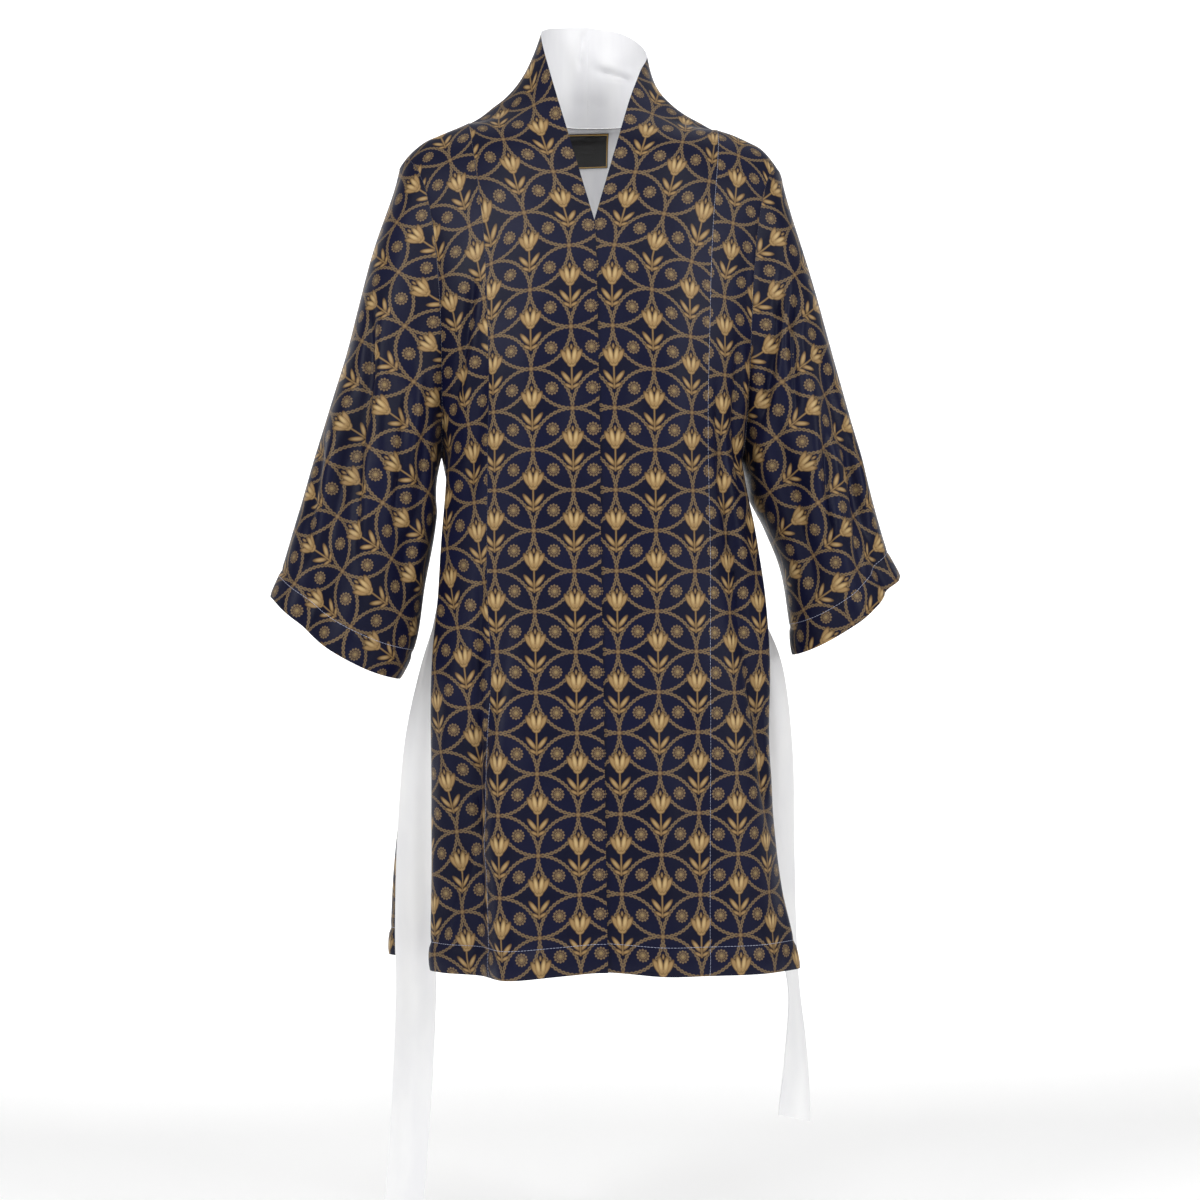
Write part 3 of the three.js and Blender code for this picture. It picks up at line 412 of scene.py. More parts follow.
# And on the back, as x and z
BACK_CREASES = records(
    CREASE_COLUMNS,
    (6, -3.5, [(-148, -300), (-128, -380), (-96, -430)]),
    (6, -3.2, [(150, -290), (128, -372), (102, -420)]),
    (12, 2, [(-120, -200), (-104, -300), (-70, -400)]),
    (12, 1.8, [(116, -180), (98, -300), (62, -396)]),
    (5, -3.4, [(-64, -474), (-70, -560), (-66, -660)]),
    (5, -3, [(22, -470), (26, -540), (20, -640)]),
    (6, -3.6, [(78, -474), (86, -580), (84, -700)]),
    (8, 2.4, [(-18, -472), (-22, -600), (-30, -760)]),
    (5, -2.6, [(-112, -470), (-120, -540), (-126, -640)]),
    (5, -2.6, [(118, -472), (126, -560), (132, -650)]),
    (14, -2, [(-30, -60), (-36, -170), (-24, -300)]),
    (14, -1.8, [(44, -70), (50, -190), (40, -330)]),
)

# Creases inside the collar, found by x and z behind the neck
COLLAR_CREASES = records(
    CREASE_COLUMNS,
    (3.4, 3.4, [(-4, 112), (-6, 92), (-9, 62)]),
    (3.4, 3.2, [(8, 66), (26, 61), (50, 52)]),
    (6, 1.6, [(-4, 70), (18, 64), (44, 62)]),
    (7, -1.4, [(-36, 90), (-33, 50), (-34, 12)]),
    (8, 1.2, [(-22, 30), (0, 24), (30, 30)]),
)


def mix(low, high, share):
    return low + (high - low) * share


def ease(value, start, end):
    """Rises smoothly from 0 at start to 1 at end"""
    t = np.clip((value - start) / (end - start), 0, 1)
    return t * t * (3 - 2 * t)


def bump(distance, spread):
    return np.exp(-((distance / spread) ** 2))


def unit(vectors):
    return vectors / np.maximum(np.linalg.norm(vectors, axis=-1, keepdims=True), 1e-9)


def place(x, y, z):
    return np.stack(np.broadcast_arrays(x, y, z), axis=-1).astype(float)


def read(rows, key, at, column):
    """Cubic interpolation in a table's column, with the key column as the abscissa"""
    keys = rows[key]
    values = rows[column]
    if keys[-1] < keys[0]:
        keys = keys[::-1]
        values = values[::-1]
    last = len(keys) - 1
    low = np.maximum(np.arange(last + 1) - 1, 0)
    high = np.minimum(np.arange(last + 1) + 1, last)
    slopes = (values[high] - values[low]) / (keys[high] - keys[low])
    at = np.clip(at, keys[0], keys[-1])
    i = np.clip(np.searchsorted(keys, at) - 1, 0, last - 1)
    span = keys[i + 1] - keys[i]
    t = (at - keys[i]) / span
    start = (2 * t**3 - 3 * t**2 + 1) * values[i] + (t**3 - 2 * t**2 + t) * span * slopes[i]
    end = (3 * t**2 - 2 * t**3) * values[i + 1] + (t**3 - t**2) * span * slopes[i + 1]
    return start + end


def read_step(rows, step, column):
    numbered = dict(rows, step=np.arange(len(rows[column]), dtype=float))
    return read(numbered, "step", step, column)


def shoulder_height(half, x):
    x = np.asarray(x, float)
    near = mix(CENTRE_TOP_Z, SHOULDER_NECK_Z[half], (x / NECK_POINT_X) ** 2)
    far = read(SHOULDER_LINE[half], "x", x, "z")
    return np.where(x < NECK_POINT_X, near, far)


def upper_section(level, behind):
    rise = np.asarray(level, float) - 1
    edge = read(ARMHOLE, "rise", rise, "x")
    full = np.where(behind, CHEST_DEPTH_BACK, CHEST_DEPTH_FRONT)
    depth = full * np.maximum(np.cos(rise * math.pi / 2), 0) ** SHOULDER_ROUNDING
    early = np.minimum(rise / ARMHOLE_ROUNDING, 1)
    opened = ARMHOLE_OPEN_SHARE * np.sqrt(np.maximum(1 - (1 - early) ** 2, 0))
    width = edge / (1 - opened**SECTION_POWER) ** (1 / SECTION_POWER)
    return dict(rise=rise, edge=edge, width=width, depth=depth)


def fold_at(half, angle, z):
    out = 0.0
    for fold in BODY_FOLDS[half]:
        along = (z - fold["top_z"]) / (fold["bottom_z"] - fold["top_z"])
        depth = fold["depth"] * ease(along, 0, BODY_FOLD_FULL_AT)
        if not fold["open"]:
            depth = depth * (1 - ease(along, BODY_FOLD_FADES_FROM, 1))
        centre = mix(fold["top_angle"], fold["bottom_angle"], along)
        out = out + depth * bump(angle - centre, fold["spread"])
    return out


HEM_PUFF = 1.7
HEM_PULL = 0.9
HEM_PULL_SPREAD = 3


def hem_puff(height):
    """How far a turned-up hem stands out, by the height above its edge"""
    puff = HEM_PUFF * np.sin(math.pi * np.clip(height / HEM_BAND, 0, 1)) ** 0.7
    return puff - HEM_PULL * bump(height - HEM_BAND, HEM_PULL_SPREAD)


def lower_point(half, angle, level):
    """A point of the body below the underarm"""
    z = mix(HEM_Z, UNDERARM_Z, level)
    angle = np.asarray(angle, float)

    def at(column):
        return read(BODY_SECTIONS[half], "z", z, column)

    width = mix(at("front"), at("side"), ease(angle, *FRONT_TO_SIDE))
    width = mix(width, at("back"), ease(angle, *SIDE_TO_BACK))
    depth = np.where(angle < 90, at("front_depth"), at("back_depth"))
    turn = np.radians(angle)
    across = np.abs(np.sin(turn)) / width
    deep = np.abs(np.cos(turn)) / depth
    bare = (across**SECTION_POWER + deep**SECTION_POWER) ** (-1 / SECTION_POWER)
    side = bump(angle - 90, SIDE_SEAM_SPREAD)
    reach = bare + fold_at(half, angle, z) * (1 - side)
    x = reach * np.sin(turn)
    lift = HEM_LIFT * bump(x, HEM_LIFT_SPREAD) * (1 - ease(z, HEM_Z, HEM_Z + HEM_LIFT_HEIGHT))
    return place(half * x, -reach * np.cos(turn), z + lift)


def upper_point(half, x, level, behind):
    """A point of the body above the underarm"""
    section = upper_section(level, behind)
    share = np.minimum(np.abs(x) / section["width"], 1)
    y = section["depth"] * (1 - share**SECTION_POWER) ** (1 / SECTION_POWER)
    top = shoulder_height(half, np.abs(x))
    z = mix(UNDERARM_Z, top, np.sin(section["rise"] * math.pi / 2))
    return place(half * x, np.where(behind, y, -y), z)


def body_levels():
    lower = np.linspace(0, 1, LOWER_ROWS, endpoint=False)
    upper = 1 + (1 - np.cos(np.pi * np.arange(UPPER_ROWS + 1) / UPPER_ROWS)) / 2
    return np.concatenate([lower, upper])


def front_section_y(half, x, z):
    front = read(BODY_SECTIONS[half], "z", z, "front")
    depth = read(BODY_SECTIONS[half], "z", z, "front_depth")
    return depth * (1 - (np.abs(x) / front) ** SECTION_POWER) ** (1 / SECTION_POWER)


def front_seam_point(half, level, shift):
    if level < 1:
        z = mix(HEM_Z, UNDERARM_Z, level)
        x = read(FRONT_SEAM, "z", z, "x") + shift
        return lower_point(half, np.degrees(np.arctan2(x, front_section_y(half, x, z))), level)
    z = mix(UNDERARM_Z, FRONT_SEAM["z"][-1], math.sin((level - 1) * math.pi / 2))
    return upper_point(half, read(FRONT_SEAM, "z", z, "x") + shift, level, False)


def angle_of(point, half):
    return math.degrees(math.atan2(half * point[0], -point[1]))


def side_front_grid(half):
    rows = []
    shares = np.linspace(0, 1, SIDE_COLUMNS + 1)
    for level in body_levels():
        seam = front_seam_point(half, level, SEAM_GAP / 2)
        if level < 1:
            row = lower_point(half, mix(angle_of(seam, half), 90, shares), level)
        else:
            seam_below = front_seam_point(half, 1, SEAM_GAP / 2)
            below = lower_point(half, mix(angle_of(seam_below, half), 90, shares), 1)
            start = (below[:, 0] - seam_below[0]) / (half * UNDERARM_HALF_WIDTH - seam_below[0])
            spread = mix(start, shares, ease(level, 1, 1.5))
            edge = upper_section(level, False)["edge"]
            row = upper_point(half, mix(half * seam[0], edge, spread), level, False)
        row[0] = seam
        if level <= 1:
            row[-1, 1] -= SEAM_GAP / 2
        if level == 2:
            row[:, 1] = -SEAM_GAP / 2
        rows.append(row)
    return np.array(rows)


def front_level_at(z):
    return 1 + 2 / math.pi * math.asin((z - UNDERARM_Z) / (CENTRE_TOP_Z - UNDERARM_Z))


def centre_height(level):
    if level < 1:
        return mix(HEM_Z, UNDERARM_Z, level)
    return mix(UNDERARM_Z, CENTRE_TOP_Z, math.sin((level - 1) * math.pi / 2))


def neckline_point(half, share, inward):
    turn = share * math.pi / 2
    x = (NECK_POINT_X + inward) * np.maximum(np.cos(turn), 0) ** NECKLINE_POWER
    y = (BACK_NECK_Y + inward) * np.sin(turn)
    return place(half * x, y, mix(SHOULDER_NECK_Z[half], BACK_NECK_Z, np.sin(turn)))


def collar_seam_point(half, step):
    """The outer seam of the collar from the V's level round to the centre back"""
    if step <= SHOULDER_STEP:
        level = mix(front_level_at(V_POINT_Z), 2, step / SHOULDER_STEP)
        point = front_seam_point(half, level, -SEAM_GAP / 2)
        if step == SHOULDER_STEP:
            point[1] = -SEAM_GAP / 2
        return point
    if step <= NECK_STEP:
        seam_top = read(FRONT_SEAM, "z", 0, "x")
        x = mix(seam_top, NECK_POINT_X - SEAM_GAP, step - SHOULDER_STEP)
        return place(half * x, -SEAM_GAP / 2, shoulder_height(half, x))
    share = (step - NECK_STEP) / (CENTRE_BACK_STEP - NECK_STEP)
    inside = ease(share, 0, 0.3)
    point = neckline_point(half, share, -mix(SEAM_GAP, COLLAR_INSIDE_BACK, inside))
    point[2] -= SEAM_GAP * inside
    return point


def bent(edge, bend, seam):
    """A three-point curve from the free edge to the seam"""
    t = np.linspace(0, 1, CENTRE_COLUMNS + 1)[:, None]
    return edge * (1 - t) ** 2 + bend * 2 * t * (1 - t) + seam * t**2


def bend_through(row):
    return 2 * row[len(row) // 2] - 0.5 * row[0] - 0.5 * row[-1]


def centre_front_row(half, level):
    seam = front_seam_point(half, level, -SEAM_GAP / 2)
    height = centre_height(level)
    x = np.linspace(read(FREE_EDGE, "z", height, SIDES[half]), half * seam[0], CENTRE_COLUMNS + 1)
    if level < 1:
        y = front_section_y(half, x, height)
        row = lower_point(half, np.degrees(np.arctan2(x, y)), level)
    else:
        row = upper_point(half, x, level, False)
    row[-1] = seam
    if half == RIGHT:
        row[:, 1] -= CROSSING_STANDOFF * (1 - ease(x, *CROSSING_ENDS))
    return row


def centre_front_grid(half):
    v_level = front_level_at(V_POINT_Z)
    rows = []
    for level in body_levels():
        if level < v_level - 0.005:
            row = centre_front_row(half, level)
            curve = bent(row[0], bend_through(row), row[-1])
            toward = ease(level, 1.25, v_level)
            rows.append(mix(row, curve, toward))
    v_row = centre_front_row(half, v_level)
    first = np.concatenate([v_row[0], bend_through(v_row)]) * np.array([half, 1, 1] * 2)
    sections = table(COLLAR_COLUMNS, first, *COLLAR_SECTIONS[half])
    for step in np.linspace(0, CENTRE_BACK_STEP, CENTRE_BACK_STEP * COLLAR_ROWS_PER_STEP + 1):
        edge, bend = (
            place(*(read_step(sections, step, f"{end}_{axis}") for axis in "xyz")) * [half, 1, 1]
            for end in ("edge", "bend")
        )
        rows.append(bent(edge, bend, collar_seam_point(half, step)))
    rows[-1][:, 0] = half * CENTRE_BACK_GAP / 2
    return np.array(rows)


def back_grid():
    middle = BACK_COLUMNS_PER_HALF
    shares = 1 - np.abs(np.arange(-middle, middle + 1)) / middle
    halves = [(RIGHT, slice(0, middle)), (LEFT, slice(middle, None))]
    rows = []
    for level in body_levels():
        parts = [back_row(half, shares[part], level) for half, part in halves]
        rows.append(np.concatenate(parts))
    return np.array(rows)


def back_row(half, share, level):
    angle = mix(90, 180, share)
    if level < 1:
        row = lower_point(half, angle, level)
        row[share == 0, 1] += SEAM_GAP / 2
        return row
    seam_top = read(FRONT_SEAM, "z", 0, "x")
    shares = [0, BACK_SEAM_TOP, BACK_NECK_POINT]
    x = np.interp(share, shares, [SHOULDER_TIP_X, seam_top, NECK_POINT_X])
    along = np.clip((share - BACK_NECK_POINT) / (1 - BACK_NECK_POINT), 0, 1)
    shoulder = place(half * x, SEAM_GAP / 2, shoulder_height(half, x))
    top = np.where((share > BACK_NECK_POINT)[:, None], neckline_point(half, along, 0), shoulder)
    if level == 2:
        return top
    slide = level - 1
    under = np.abs(lower_point(half, angle, 1)[:, 0])
    across = mix(under / UNDERARM_HALF_WIDTH, np.abs(top[:, 0]) / SHOULDER_TIP_X, slide)
    row = upper_point(half, upper_section(level, True)["edge"] * across, level, True)
    drop = top[:, 2] - shoulder_height(half, np.abs(top[:, 0]))
    fullness = BACK_NECK_Y * ease(share, 0.1, 0.95)
    to_neck = mix(fullness, top[:, 1], slide**3)
    row[:, 1] += to_neck * (1 - math.cos(slide * math.pi / 2) ** SHOULDER_ROUNDING)
    row[:, 2] += drop * math.sin(slide * math.pi / 2)
    if level == 1:
        row[share == 0, 1] += SEAM_GAP / 2
    return row


def sleeve_fold_at(half, turn, along):
    out = 0.0
    for fold in SLEEVE_FOLDS[half]:
        t = (along - fold["start"]) / (fold["end"] - fold["start"])
        depth = fold["depth"] * ease(t, 0, SLEEVE_FOLD_FULL_AT)
        if fold["end"] < 1:
            depth = depth * (1 - ease(t, SLEEVE_FOLD_FADES_FROM, 1))
        centre = mix(fold["start_turn"], fold["end_turn"], t)
        out = out + depth * bump(turn - centre, fold["spread"])
    return out


# Turns round a sleeve from its underarm seam, over the back, the outer edge and the front
SLEEVE_TURNS = (180 + np.arange(SLEEVE_COLUMNS) * 360 / SLEEVE_COLUMNS) % 360


def sleeve_ring(half, along):
    turn = SLEEVE_TURNS
    sections = SLEEVE_SECTIONS[half]
    step = along * (len(sections["y"]) - 1)
    now = {column: read_step(sections, step, column) for column in sections}
    c = np.cos(np.radians(turn))
    s = np.sin(np.radians(turn))
    fold = sleeve_fold_at(half, turn, along)
    depth = np.where(s > 0, now["front"], now["back"]) + fold
    rise = (1 + c) / 2
    x = mix(now["in_x"], now["out_x"], rise) + fold * c / 2
    z = mix(now["in_z"], now["out_z"], rise) - now["sag"] * s * s
    ring = place(half * x, now["y"] - depth * s, z)
    behind = turn > 180
    edge = upper_section(1 + rise, behind)["edge"]
    start = upper_point(half, edge, 1 + rise, behind)
    start[(rise < 1e-9) | (rise > 1 - 1e-9), 1] = 0

    def middle(values):
        x = (values["out_x"] + values["in_x"]) / 2
        return place(half * x, values["y"], (values["out_z"] + values["in_z"]) / 2)

    start = start + middle(now) - middle({column: sections[column][0] for column in sections})
    ring = mix(start, ring, ease(along, 0, SLEEVE_LEAVES_ARMHOLE))
    ring[:, 0] += half * ARMHOLE_GAP
    return ring


def lengths_along(points, axis):
    """The distance walked from the first point, along an axis of a grid"""
    steps = np.linalg.norm(np.diff(points, axis=axis), axis=-1)
    zero = np.zeros_like(np.take(steps, [0], axis=axis))
    return np.concatenate([zero, np.cumsum(steps, axis=axis)], axis=axis)


def grid_normals(grid, closed, sign):
    if closed:
        across = np.roll(grid, -1, axis=1) - np.roll(grid, 1, axis=1)
    else:
        across = np.gradient(grid, axis=1)
    along = np.gradient(grid, axis=0)
    return unit(np.cross(across, along) * sign)


def creases_at(points, creases):
    """How far the creases move each point out, by its place in the front view"""
    flat = points[..., (0, 2)]
    out = np.zeros(flat.shape[:-1])
    for crease in creases:
        path = np.array(crease["path"], float)
        best = np.full(out.shape, np.inf)
        signed = np.zeros(out.shape)
        along = np.zeros(out.shape)
        walked = 0.0
        for start, end in zip(path, path[1:]):
            step = end - start
            length = np.linalg.norm(step)
            offset = flat - start
            t = np.clip(offset @ step / length**2, 0, 1)
            away = np.linalg.norm(offset - t[..., None] * step, axis=-1)
            side = np.sign(step[0] * offset[..., 1] - step[1] * offset[..., 0])
            nearer = away < best
            best = np.where(nearer, away, best)
            signed = np.where(nearer, side * away, signed)
            along = np.where(nearer, walked + t * length, along)
            walked += length
        fading = CREASE_END_SHARE * walked
        fade = ease(along, 0, fading) * ease(walked - along, 0, fading)
        width = crease["width"]
        ridge = CREASE_RIDGE * bump(signed - 2 * width, 1.3 * width)
        out += crease["depth"] * fade * (bump(signed, width) - ridge)
    return out


def wobble(points, size):
    """The slight unevenness of hanging cloth"""
    x = points[..., 0]
    z = points[..., 2]
    waves = np.sin(x / 31 + z / 87 + 1.3) * np.sin(z / 53 - x / 140)
    waves += 0.6 * np.sin(x / 17 - z / 120 + 0.4) * np.sin(z / 71 + x / 90 + 2.1)
    waves += 0.35 * np.sin(x / 9.5 + z / 43) * np.sin(z / 29 - x / 60 + 0.7)
    return size * waves


def hem_waves(walked):
    """The slight puckers that sewing leaves along a hem"""
    return 0.35 * np.sin(walked / 3.1) * np.sin(walked / 13.7 + 1) + 0.25 * np.sin(walked / 5.3 + 2)


PRINT_UNIT = 100
SHARP_ANGLE = 48
NO_ROWS = slice(0)
ALL_RIMS = ("bottom", "top", "first", "last")
pieces = {}


def dress(piece, node):
    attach(piece, "root")
    if node:
        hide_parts(node)


def shell(name, node, slot_name, grid, prints, sign, materials,
          closed=False, thickness=CLOTH, turned=NO_ROWS, printed_rims=()):
    """A thin closed shell on a grid, in place of a node. Its materials are the outer side, the
    reverse and the edge. The rows that are turned up show the outer side within too"""
    rows, columns = grid.shape[:2]
    normals = grid_normals(grid, closed, sign)
    inner = grid - normals * thickness
    vertices = np.concatenate([grid.reshape(-1, 3), inner.reshape(-1, 3)]) * MM
    count = rows * columns
    last = columns if closed else columns - 1
    r, c = np.meshgrid(np.arange(rows - 1), np.arange(last), indexing="ij")
    corner_rows = np.stack([r, r, r + 1, r + 1], axis=-1).reshape(-1, 4)
    corner_columns = np.stack([c, c + 1, c + 1, c], axis=-1).reshape(-1, 4)
    outer_faces = corner_rows * columns + corner_columns % columns
    inner_faces = outer_faces[:, ::-1] + count
    faces = [outer_faces, inner_faces]
    prints = np.asarray(prints) / PRINT_UNIT
    face_prints = [prints[corner_rows, corner_columns], prints[corner_rows, corner_columns][:, ::-1]]
    within = np.ones(rows - 1, int)
    within[turned] = 0
    slots = [np.zeros(len(outer_faces), int), within[corner_rows[:, 0]]]

    def rim(edge, row_a, column_a, row_b, column_b):
        a = row_a * columns + column_a % columns
        b = row_b * columns + column_b % columns
        faces.append(np.stack([b, a, a + count, b + count], axis=-1))
        at_a = prints[row_a, column_a]
        at_b = prints[row_b, column_b]
        face_prints.append(np.stack([at_b, at_a, at_a, at_b], axis=1))
        slots.append(np.full(len(a), 0 if edge in printed_rims else 2))

    steps = np.arange(last)
    rim("bottom", 0, steps, 0, steps + 1)
    rim("top", rows - 1, steps + 1, rows - 1, steps)
    if not closed:
        climbs = np.arange(rows - 1)
        rim("first", climbs + 1, 0, climbs, 0)
        rim("last", climbs, columns - 1, climbs + 1, columns - 1)
    faces = np.concatenate(faces)
    face_prints = np.concatenate(face_prints)
    if sign < 0:
        faces = faces[:, ::-1]
        face_prints = face_prints[:, ::-1]
    mesh = bpy.data.meshes.new(name)
    mesh.from_pydata(vertices.tolist(), [], faces.tolist())
    layer = mesh.uv_layers.new(name="print")
    layer.data.foreach_set("uv", face_prints.reshape(-1, 2).astype(np.float32).ravel())
    mesh.polygons.foreach_set("material_index", np.concatenate(slots).astype(np.int32))
    for material in materials:
        mesh.materials.append(material)
    mesh.shade_smooth()
    mesh.set_sharp_from_angle(angle=math.radians(SHARP_ANGLE))
    mesh.update()
    pieces[node] = add_object(name, mesh)
    dress(pieces[node], node)
    return normals


def printed_cloth(node, grid, prints, sign, **options):
    name = f"cloth_{node}"
    return shell(name, node, "printed_satin", grid, prints, sign, (PRINTED, REVERSE, EDGE), **options)


def strip(name, node, slot_name, grid, sign, material, thickness):
    """A narrow piece in one material, with its cloth coordinates across and along it"""
    prints = np.stack([lengths_along(grid, 1), lengths_along(grid, 0)], axis=-1)
    return shell(name, node, slot_name, grid, prints, sign, [material] * 3, thickness=thickness)


class Field:
    """A number that a material works out at each point, from which others are made"""

    def __init__(self, tree, socket):
        self.tree = tree
        self.socket = socket

    def math(self, operation, *others):
        node = self.tree.nodes.new("ShaderNodeMath")
        node.operation = operation
        for slot, value in zip(node.inputs, (self, *others)):
            if isinstance(value, Field):
                self.tree.links.new(value.socket, slot)
            else:
                slot.default_value = value
        return Field(self.tree, node.outputs[0])

    __add__ = partialmethod(math, "ADD")
    __sub__ = partialmethod(math, "SUBTRACT")
    __mul__ = partialmethod(math, "MULTIPLY")
    absolute = partialmethod(math, "ABSOLUTE")
    floor = partialmethod(math, "FLOOR")
    cosine = partialmethod(math, "COSINE")
    turn_of = partialmethod(math, "ARCTAN2")
    least = partialmethod(math, "MINIMUM")
    most = partialmethod(math, "MAXIMUM")

    def __rsub__(self, other):
        return (self * -1.0) + other

    def hypot(self, other):
        return (self * self + other * other).math("SQRT")

    def between(self, low, high):
        """0 below low, 1 above high and smooth between"""
        node = self.tree.nodes.new("ShaderNodeMapRange")
        node.interpolation_type = "SMOOTHSTEP"
        self.tree.links.new(self.socket, node.inputs["Value"])
        node.inputs["From Min"].default_value = low
        node.inputs["From Max"].default_value = high
        return Field(self.tree, node.outputs["Result"])


def colour(code):
    """A colour as the shader takes it, from its usual six digits"""
    parts = [int(code[k:k + 2], 16) / 255 for k in (0, 2, 4)]
    linear = [part / 12.92 if part <= 0.04045 else ((part + 0.055) / 1.055) ** 2.4 for part in parts]
    return (*linear, 1)


def blend(tree, below, above, share):
    """Mixes two colours, each of which is six digits or a socket, by a field"""
    node = tree.nodes.new("ShaderNodeMix")
    node.data_type = "RGBA"
    tree.links.new(share.socket, node.inputs["Factor"])
    for name, value in (("A", below), ("B", above)):
        slot = next(s for s in node.inputs if s.name == name and s.type == "RGBA")
        if isinstance(value, str):
            slot.default_value = colour(value)
        else:
            tree.links.new(value, slot)
    return next(s for s in node.outputs if s.type == "RGBA")


def new_material(name, roughness, sheen):
    material = bpy.data.materials.new(name)
    material.use_nodes = True
    tree = material.node_tree
    shader = tree.nodes["Principled BSDF"]
    shader.inputs["Roughness"].default_value = roughness
    shader.inputs["Sheen Weight"].default_value = sheen
    shader.inputs["Sheen Roughness"].default_value = 0.4
    return material, tree, shader


def print_place(tree):
    """The two coordinates on the cloth, in millimetres"""
    source = tree.nodes.new("ShaderNodeUVMap")
    source.uv_map = "print"
    split = tree.nodes.new("ShaderNodeSeparateXYZ")
    tree.links.new(source.outputs[0], split.inputs[0])
    return [Field(tree, split.outputs[k]) * float(PRINT_UNIT) for k in (0, 1)]


def noise(tree, scale, detail=2.0, stretch=None):
    """Uneven patches over the whole piece"""
    coordinates = tree.nodes.new("ShaderNodeTexCoord")
    source = coordinates.outputs["Object"]
    if stretch:
        mapping = tree.nodes.new("ShaderNodeMapping")
        mapping.inputs["Scale"].default_value = stretch
        tree.links.new(source, mapping.inputs[0])
        source = mapping.outputs[0]
    node = tree.nodes.new("ShaderNodeTexNoise")
    node.inputs["Scale"].default_value = scale
    node.inputs["Detail"].default_value = detail
    tree.links.new(source, node.inputs["Vector"])
    return Field(tree, node.outputs[0])


# The warp's pitch for each one of the weft, and the depth of the weave in metres
WARP_PITCH = 1.7
WEAVE_DEPTH = 0.0004


def add_weave(tree, shader, u, v, pitch, strength):
    """Yarns that cross, as a fine bump, with soft slubs"""
    weft = (u * (2 * math.pi / pitch)).cosine()
    warp = (v * (2 * math.pi / (pitch * WARP_PITCH))).cosine()
    slubs = noise(tree, 420, 2.0, (1, 1, 0.25))
    height = weft * warp * 0.5 + slubs
    node = tree.nodes.new("ShaderNodeBump")
    node.inputs["Strength"].default_value = strength
    node.inputs["Distance"].default_value = WEAVE_DEPTH
    tree.links.new(height.socket, node.inputs["Height"])
    tree.links.new(node.outputs[0], shader.inputs["Normal"])


# The print: interlocking circles, a flower on a stem in each space between them and a rosette
# where two circles overlap. Sizes in millimetres
CIRCLE = 42.0
BAND_HALF = 1.9
STRAND_SWING = 1.1
STRANDS = 28.0
ROSETTE = 6.6
ROSETTE_PETALS = 12.0
ROSETTE_RING = 4.4
ROSETTE_MIDDLE = 2.2
LOZENGE = 5.0
LOZENGE_INSIDE = 3.4
STEM_HALF_WIDTH = 1.15
STEM_HALF_LENGTH = 17.0
STEM_DROP = 6.0
SOFT_EDGE = (-0.3, 0.4)

# The ovals that make the flower
PETALS = records(
    "name centre_x centre_y half_width half_length tilt",
    ("leaf", 5.6, -10.5, 2.6, 8.6, -38.0),
    ("low_leaf", 3.8, -19.0, 1.9, 5.4, -62.0),
    ("outer", 6.1, 10.4, 3.3, 9.4, -30.0),
    ("inner", 2.9, 12.6, 3.0, 9.6, -10.0),
    ("cup", 0.0, 4.4, 5.0, 4.6, 0.0),
    ("seed", 0.0, 21.0, 1.5, 3.2, 0.0),
)


def petal(x, y, oval):
    """How deep a point lies inside a tilted oval"""
    c = math.cos(math.radians(oval["tilt"]))
    s = math.sin(math.radians(oval["tilt"]))
    dx = x - oval["centre_x"]
    dy = y - oval["centre_y"]
    across = (dx * c + dy * s) * (1 / oval["half_width"])
    along = (dy * c - dx * s) * (1 / oval["half_length"])
    return (1.0 - across.hypot(along)) * oval["half_width"]


